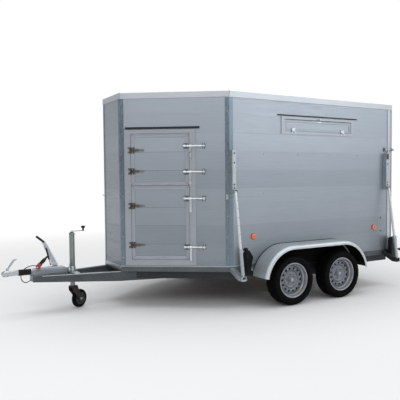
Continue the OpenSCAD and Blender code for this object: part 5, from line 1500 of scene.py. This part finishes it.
def add_props():
    tube_len = (0.667 - PROP_FOOT.z) / math.cos(math.radians(PROP_TILT))
    first = True
    for end, x in RAILS.items():
        for name, flip in (("left", Matrix()), ("right", FLIP)):
            place = flip @ BODY @ shift(x + RAIL_W / 2, PROP_FOOT.y, PROP_FOOT.z) @ turn(-PROP_TILT, "X")
            piece = Piece(f"prop_{end}_{name}_tube", "chassis", "zinc", *once("prop_tubes", first), at=place)
            first = False
            piece.add("galvanised", lathe([(0.0162, 0.02), (0.019, 0.016), (0.02, 0.018),
                (0.02, tube_len - 0.0415), (0.023, tube_len - 0.04), (0.024, tube_len - 0.0385),
                (0.024, tube_len - 0.002), (0.023, tube_len), (0.0162, tube_len),
                (0.0162, tube_len - 0.01)], 36, closed=True))
            piece.add("galvanised", block(-0.012, 0.012, -0.012, 0.012, -0.004, 0.02, 0.003))
            piece.add("zinc", lathe([(0, -0.0255), (0.0095, -0.0255), (0.0105, -0.0245), (0.0105, -0.0215),
                (0.007, -0.0205), (0.007, 0.02), (0.007, 0.0265), (0.006, 0.0275), (0, 0.0275)], 24), ALONG)
            ring = [(0.0245, u, v - 0.008) for u, v in circle(0.016, 20)]
            piece.add("zinc", tube(ring, 0.0016, 8, closed=True))
            piece.add("zinc", rod(0.005, 0.02, 0.001, 20), shift(0, -0.0215, tube_len - 0.02) @ OUT)
            piece.add("zinc", lathe([(0, -0.016), (0.0035, -0.016), (0.004, -0.015), (0.004, 0.015),
                (0.0035, 0.016), (0, 0.016)], 18), shift(0, -0.0395, tube_len - 0.02) @ ALONG)
            piece.done()
            inner = Piece(f"prop_{end}_{name}_rod", f"rod_{end}_{name}", "zinc", f"prop_rod_{end}_{name}",
                at=place)
            inner.add("guard_lip", lathe([(0, tube_len - 0.06), (0.014, tube_len - 0.06),
                (0.015, tube_len - 0.058), (0.015, PROP_LEN - 0.01), (0.0138, PROP_LEN - 0.004),
                (0.01, PROP_LEN), (0, PROP_LEN + 0.0002)], 32))
            for k in range(6):
                z = tube_len + 0.07 + k * 0.09
                if z < PROP_LEN - 0.03:
                    for s in (-1, 1):
                        inner.add("black_rubber", disc(0.0036, 0.0005, 16),
                            shift(0, -s * 0.0147, z) @ turn(s * 90, "X"))
            inner.done()


add_brackets()
add_props()


# ---- rear ramp fittings ----
def add_ramp_latches():
    for name, side in SIDES.items():
        shaft = Piece(f"ramp_latch_{name}_bar", f"ramp_bolt_{name}", "zinc", f"ramp_latch_{name}", at=side)
        start = RAILS["rear"] + 0.018
        y = RAMP_LATCH_Y + HALF_W
        place = shift(start, y, RAMP_LATCH_Z) @ ALONG
        reach = joint_place("ramp_lower").x - start
        shaft.add("zinc", lathe([(0, 0), (0.0062, 0), (0.007, 0.001), (0.007, reach - 0.014),
            (0.0105, reach - 0.0135), (0.011, reach - 0.012), (0.011, reach + 0.003), (0.01, reach + 0.004),
            (0, reach + 0.004)], 28), place)
        shaft.add("zinc", lathe([(0.006, 0.044), (0.0112, 0.044), (0.012, 0.045), (0.012, 0.065),
            (0.0112, 0.066), (0.006, 0.066)], 28), place)
        x = RAILS["rear"] + 0.073
        handle = [(x - 0.009, -0.006), (x - 0.0095, -0.05), (x - 0.0065, -0.0605), (x, -0.0625),
            (x + 0.0065, -0.0605), (x + 0.0095, -0.05), (x + 0.009, -0.006)]
        shaft.add("zinc", slab([(u, RAMP_LATCH_Z + v) for u, v in handle], y - 0.003, y + 0.003, 0.0012))
        shaft.done()


def add_ramp_beads():
    place = BODY @ shift(joint_place("ramp_lower").x - 0.012, 0, 0) @ turn(90, "Z")
    ramp = Piece("ramp_beads", "ramp", "trim", at=place)
    half, low, high = HALF_W + 0.002, 0.43, WALL_TOP - 0.002
    bead = [(0.0, -0.003), (0.0, -0.0048), (0.001, -0.0056), (0.005, -0.0056), (0.006, -0.0048),
        (0.052, -0.0048), (0.053, -0.0056), (0.057, -0.0056), (0.058, -0.0048), (0.0585, -0.003)]
    ramp.add("leaf_trim", picture_frame(-half, half, low, high, bead))
    for y in (-0.7, 0.0, 0.7):
        for u in (-0.018, 0.018):
            for z in (0.445, 0.48):
                ramp.add("zinc", bolt_head(0.006), shift(y + u, -0.008, z) @ OUT)
    for y in (-0.62, 0.62):
        grab = [(y - 0.06, -0.004, 1.06), (y - 0.06, -0.0085, 1.06), (y - 0.055, -0.0105, 1.06),
            (y + 0.055, -0.0105, 1.06), (y + 0.06, -0.0085, 1.06), (y + 0.06, -0.004, 1.06)]
        ramp.add("zinc", tube(grab, 0.0035, 12))
        for s in (-1, 1):
            ramp.add("zinc", disc(0.011, 0.0015, 20), shift(y + s * 0.06, -0.004, 1.06) @ OUT)
    ramp.done()


add_ramp_latches()
add_ramp_beads()


# ---- posts, roof corners, rings and the sill's cover ----
def add_post_screws():
    piece = Piece("post_screws", "chassis", "galvanised")
    for flip in (Matrix(), FLIP):
        for matrix, x in ((LEFT, 0.024), (NOSE, NOSE_RUN - 0.024), (NOSE, 0.024), (LEFT, WALL_END - 0.022)):
            piece.at = flip @ matrix
            for k in range(8):
                piece.add("zinc", dome(0.0042, 0.0018), shift(x, -0.004, 0.56 + 0.225 * k) @ OUT)
        piece.at = flip @ NOSE
        plate = [(NOSE_RUN - 0.038, 1.193), (NOSE_RUN - 0.014, 1.193), (NOSE_RUN - 0.014, 1.243),
            (NOSE_RUN - 0.038, 1.243)]
        piece.add("galvanised", slab(plate, -0.0062, -0.004, 0.001))
        ring = [(NOSE_RUN - 0.026 + 0.013 * u, -0.0105, 1.206 + 0.015 * v) for u, v in circle(1, 24)]
        piece.add("zinc", tube(ring, 0.002, 10, closed=True))
        for z in (1.2, 1.236):
            piece.add("zinc", dome(0.0035, 0.002), shift(NOSE_RUN - 0.026, -0.0062, z) @ OUT)
        piece.at = flip @ LEFT
        skin = [(WALL_END - 0.046, -0.0038), (WALL_END - 0.046, -0.005), (WALL_END + 0.0042, -0.005),
            (WALL_END + 0.0042, -0.0038)]
        piece.add("trim", upright(skin, WALL_LOW, WALL_TOP - 0.0005, 0.0004))
        piece.at = flip @ BODY
        piece.add("zinc", rod(0.0055, 0.03, 0.0015, 20), shift(FRONT - 0.002, -NOSE_HALF + 0.018,
            1.232) @ turn(-90, "Y"))
        piece.add("zinc", lathe([(0, 0), (0.011, 0), (0.011, 0.002), (0, 0.003)], 20),
            shift(FRONT - 0.004, -NOSE_HALF + 0.018, 1.232) @ turn(-90, "Y"))
    piece.done()


def add_roof_joints():
    joints = Piece("roof_corner_joints", "chassis", "black_rubber")
    for flip in (Matrix(), FLIP):
        joints.at = flip
        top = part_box("roof_trim")[1].z
        for matrix in (NOSE, LEFT):
            lean = (math.pi / 2 - NOSE_ANGLE) / 2 if matrix is NOSE else -NOSE_ANGLE / 2
            joints.add("black_rubber", block(-0.0014, 0.0014, -0.0105, 0.024, WALL_TOP + 0.002,
                top + 0.0035, 0.0005), matrix @ Matrix.Rotation(lean, 4, "Z"))
    joints.done()


def add_drip_strips():
    strips = Piece("drip_strips_rubber", "chassis", "black_rubber", "drip_strips")
    frame_top = UPPER_Z + UPPER_H + 0.045
    for matrix, x0, x1, z0, z1, flips in ((NOSE, 0.062, FRAME_END + 0.044, frame_top + 0.007,
            frame_top + 0.029, 1), (LEFT, VENT_X - 0.05, VENT_X + FLAP_L + 0.15, FLAP_Z + FLAP_H + 0.044,
            FLAP_Z + FLAP_H + 0.056, 2)):
        section = [(0.0, 0.0), (0.0, 1.0), (0.0025, 1.0), (0.004, 0.75), (0.012, 0.45), (0.019, 0.3),
            (0.02, 0.12), (0.019, 0.0), (0.0165, 0.0), (0.015, 0.16), (0.004, 0.3), (0.0035, 0.0)]
        for flip in (Matrix(), FLIP)[:flips]:
            strips.at = flip @ matrix
            route = [(Vector((x, 0, z0)), Vector((0, -1, 0)), Vector((0, 0, z1 - z0))) for x in (x0, x1)]
            strips.add("black_rubber", sweep(route, section))
    strips.done()


def add_sill_cover():
    cover = Piece("sill_cover", "chassis", "galvanised")
    for flip in (Matrix(), FLIP):
        cover.at = flip
        low = WALL_LOW - 0.008
        bead = [(0.0, low), (0.0078, low), (0.0082, WALL_LOW - 0.004), (0.0078, WALL_LOW + 0.0005),
            (0.0, WALL_LOW + 0.0025)]
        for matrix, x0, x1 in ((NOSE, -0.004, NOSE_RUN + 0.002), (LEFT, -0.002, 0.262)):
            route = [(Vector((x, 0, 0)), Vector((0, -1, 0)), Vector((0, 0, 1))) for x in (x0, x1)]
            cover.add("galvanised", sweep(route, bead), matrix)
    front = [(Vector((0, y, 0)), Vector((-1, 0, 0)), Vector((0, 0, 1))) for y in (-NOSE_HALF - 0.003,
        NOSE_HALF + 0.003)]
    cover.at = BODY @ shift(FRONT, 0, 0)
    cover.add("galvanised", sweep(front, [(0.0, SILL_Z + 0.02), (0.0078, SILL_Z + 0.02),
        (0.0082, SILL_Z + 0.024), (0.0082, WALL_LOW - 0.002), (0.0078, WALL_LOW + 0.0005),
        (0.0, WALL_LOW + 0.002)]))
    cover.done()


def add_drawbar_flanges():
    flanges = Piece("drawbar_top_flanges", "chassis", "galvanised")
    arm_front, arm_w = HOUSE_X0 + 0.014, 0.055
    corner = BODY.inverted() @ NOSE @ Vector((0, 0, 0))
    slope = (-corner.y + 0.006 - arm_w) / (corner.x - arm_front)
    for flip in (Matrix(), FLIP):
        flanges.at = flip @ BODY
        a = Vector((arm_front + 0.09, -arm_w - slope * 0.09, SILL_Z))
        b = Vector((corner.x - 0.012, -arm_w - slope * (corner.x - 0.012 - arm_front), SILL_Z))
        along = (b - a).normalized()
        out = Vector((along.y, -along.x, 0))
        route = [(p, out, Vector((0, 0, 1))) for p in (a, b)]
        flanges.add("galvanised", sweep(route, [(0.0008, -0.0055), (0.0018, -0.004), (0.0018, -0.0006),
            (0.0004, 0.0018), (-0.014, 0.0018), (-0.014, -0.001), (-0.002, -0.001)]))
    flanges.done()


add_post_screws()
add_roof_joints()
add_drip_strips()
add_sill_cover()
add_drawbar_flanges()


# ---- finishes on the CAD nodes that show as they are ----
# the chassis frame and the drawbar arms take darkened copies of the galvanised steel: painted shade
CAD_FINISH = {"side_walls": "planks", "nose_walls": "planks", "corner_posts": "post_steel",
    "sill_rails": "sill_steel", "roof_panel": "roof_sheet", "roof_trim": "trim", "floor_panel": "plywood",
    "door_frame": "leaf_trim", "vent_frames": "leaf_trim", "chassis_frame": "under_steel_painted_shade",
    "drawbar_arms": "drawbar_steel", "axle_tubes": "cast_black", "loading_ramp": "planks"}
for node_name, finish_name in CAD_FINISH.items():
    data = frame["nodes"][node_name].data
    data.materials.clear()
    data.materials.append(MAT[finish_name])


# ---- floor, light and world ----
SKY = 1.0


def add_floor():
    floor = bmesh.new()
    rings = []
    for r in (0.0, 6.0, 14.0, 26.0, 60.0):
        spots = circle(r, 48) if r else [(0.0, 0.0)]
        rings.append([floor.verts.new((x, y, -0.0005)) for x, y in spots])
    for a, b in zip(rings, rings[1:]):
        bridge(floor, a, b)
    mesh = bpy.data.meshes.new("floor")
    floor.to_mesh(mesh)
    f = Finish("floor", 0.0, 0.9, 0.1)
    f.paint(f.blend(f.noise(0.6), (0.9, 0.9, 0.9), (0.93, 0.93, 0.93)))
    away = f.node("ShaderNodeVectorMath", {0: f.place}, operation="LENGTH").outputs["Value"]
    glow = f.node("ShaderNodeEmission", {"Color": (1, 1, 1, 1), "Strength": SKY})
    mixed = f.node("ShaderNodeMixShader", {0: f.ramp(away, 3.2, 8.0), 1: f.shader.outputs[0],
        2: glow.outputs[0]})
    f.tree.links.new(mixed.outputs[0], f.tree.nodes["Material Output"].inputs["Surface"])
    mesh.materials.append(f.material)
    ground = bpy.data.objects.new("floor", mesh)
    scene.collection.objects.link(ground)
    return ground


def add_lights():
    lamps = []
    for name, place, aim, size, power, colour in (
            ("key", (-5.5, -6.5, 5.5), (0, -0.9, 1.2), (5.0, 3.5), 105, (0.97, 0.98, 1.0)),
            ("fill", (5.5, -7.5, 4.0), (0.8, -0.9, 1.1), (6.0, 3.5), 90, (0.9, 0.97, 1.0)),
            ("top", (0.0, 0.0, 7.5), (0, 0, 0), (7.0, 5.0), 260, (0.96, 0.98, 1.0)),
            ("front", (-8.5, 1.5, 3.5), (-1, 0, 1), (4.0, 3.0), 8, (0.94, 0.97, 1.0))):
        light = bpy.data.lights.new(name, "AREA")
        light.shape, light.size, light.size_y, light.energy, light.color = "RECTANGLE", size[0], size[
            1], power, colour
        lamp = bpy.data.objects.new(name, light)
        scene.collection.objects.link(lamp)
        way = Vector(aim) - Vector(place)
        lamp.matrix_world = Matrix.Translation(place) @ way.to_track_quat("-Z", "Y").to_matrix().to_4x4()
        lamps.append(lamp)
    return lamps


def add_world():
    """A white backdrop for the camera, and a softer room for what the trailer mirrors."""
    world = bpy.data.worlds.new("studio")
    scene.world = world
    world.use_nodes = True
    tree = world.node_tree
    back = tree.nodes["Background"]
    way = tree.nodes.new("ShaderNodeTexCoord").outputs["Generated"]

    def towards(direction, start, end, low, high):
        """How far the sky's direction leans towards one, as a value from low to high."""
        dot = tree.nodes.new("ShaderNodeVectorMath")
        dot.operation = "DOT_PRODUCT"
        tree.links.new(way, dot.inputs[0])
        dot.inputs[1].default_value = direction
        share = tree.nodes.new("ShaderNodeMapRange")
        share.interpolation_type = "SMOOTHSTEP"
        tree.links.new(dot.outputs["Value"], share.inputs["Value"])
        for key, value in (("From Min", start), ("From Max", end), ("To Min", low), ("To Max", high)):
            share.inputs[key].default_value = value
        return share.outputs["Result"]

    def combine(operation, a, b):
        node = tree.nodes.new("ShaderNodeMath")
        node.operation = operation
        for k, value in enumerate((a, b)):
            if isinstance(value, float):
                node.inputs[k].default_value = value
            else:
                tree.links.new(value, node.inputs[k])
        return node.outputs[0]

    room = combine("MULTIPLY", towards((0.8, -0.6, 0), -0.3, 1.0, 0.22, 0.62),
        towards((0, 0, 1), -0.25, 0.75, 0.75, 1.7))
    backdrop = towards((0.495, 0.869, 0), 0.45, 0.8, 0.0, 1.0)
    dim = combine("MULTIPLY", room, combine("SUBTRACT", 1.0, backdrop))
    lit = combine("ADD", dim, combine("MULTIPLY", backdrop, SKY))
    seen = tree.nodes.new("ShaderNodeLightPath").outputs["Is Camera Ray"]
    unseen = combine("MULTIPLY", lit, combine("SUBTRACT", 1.0, seen))
    tree.links.new(combine("ADD", unseen, combine("MULTIPLY", seen, SKY)), back.inputs["Strength"])
    back.inputs["Color"].default_value = (1, 1, 1, 1)
    scene.view_settings.view_transform = "Standard"


ground = add_floor()
lamps = add_lights()
add_world()
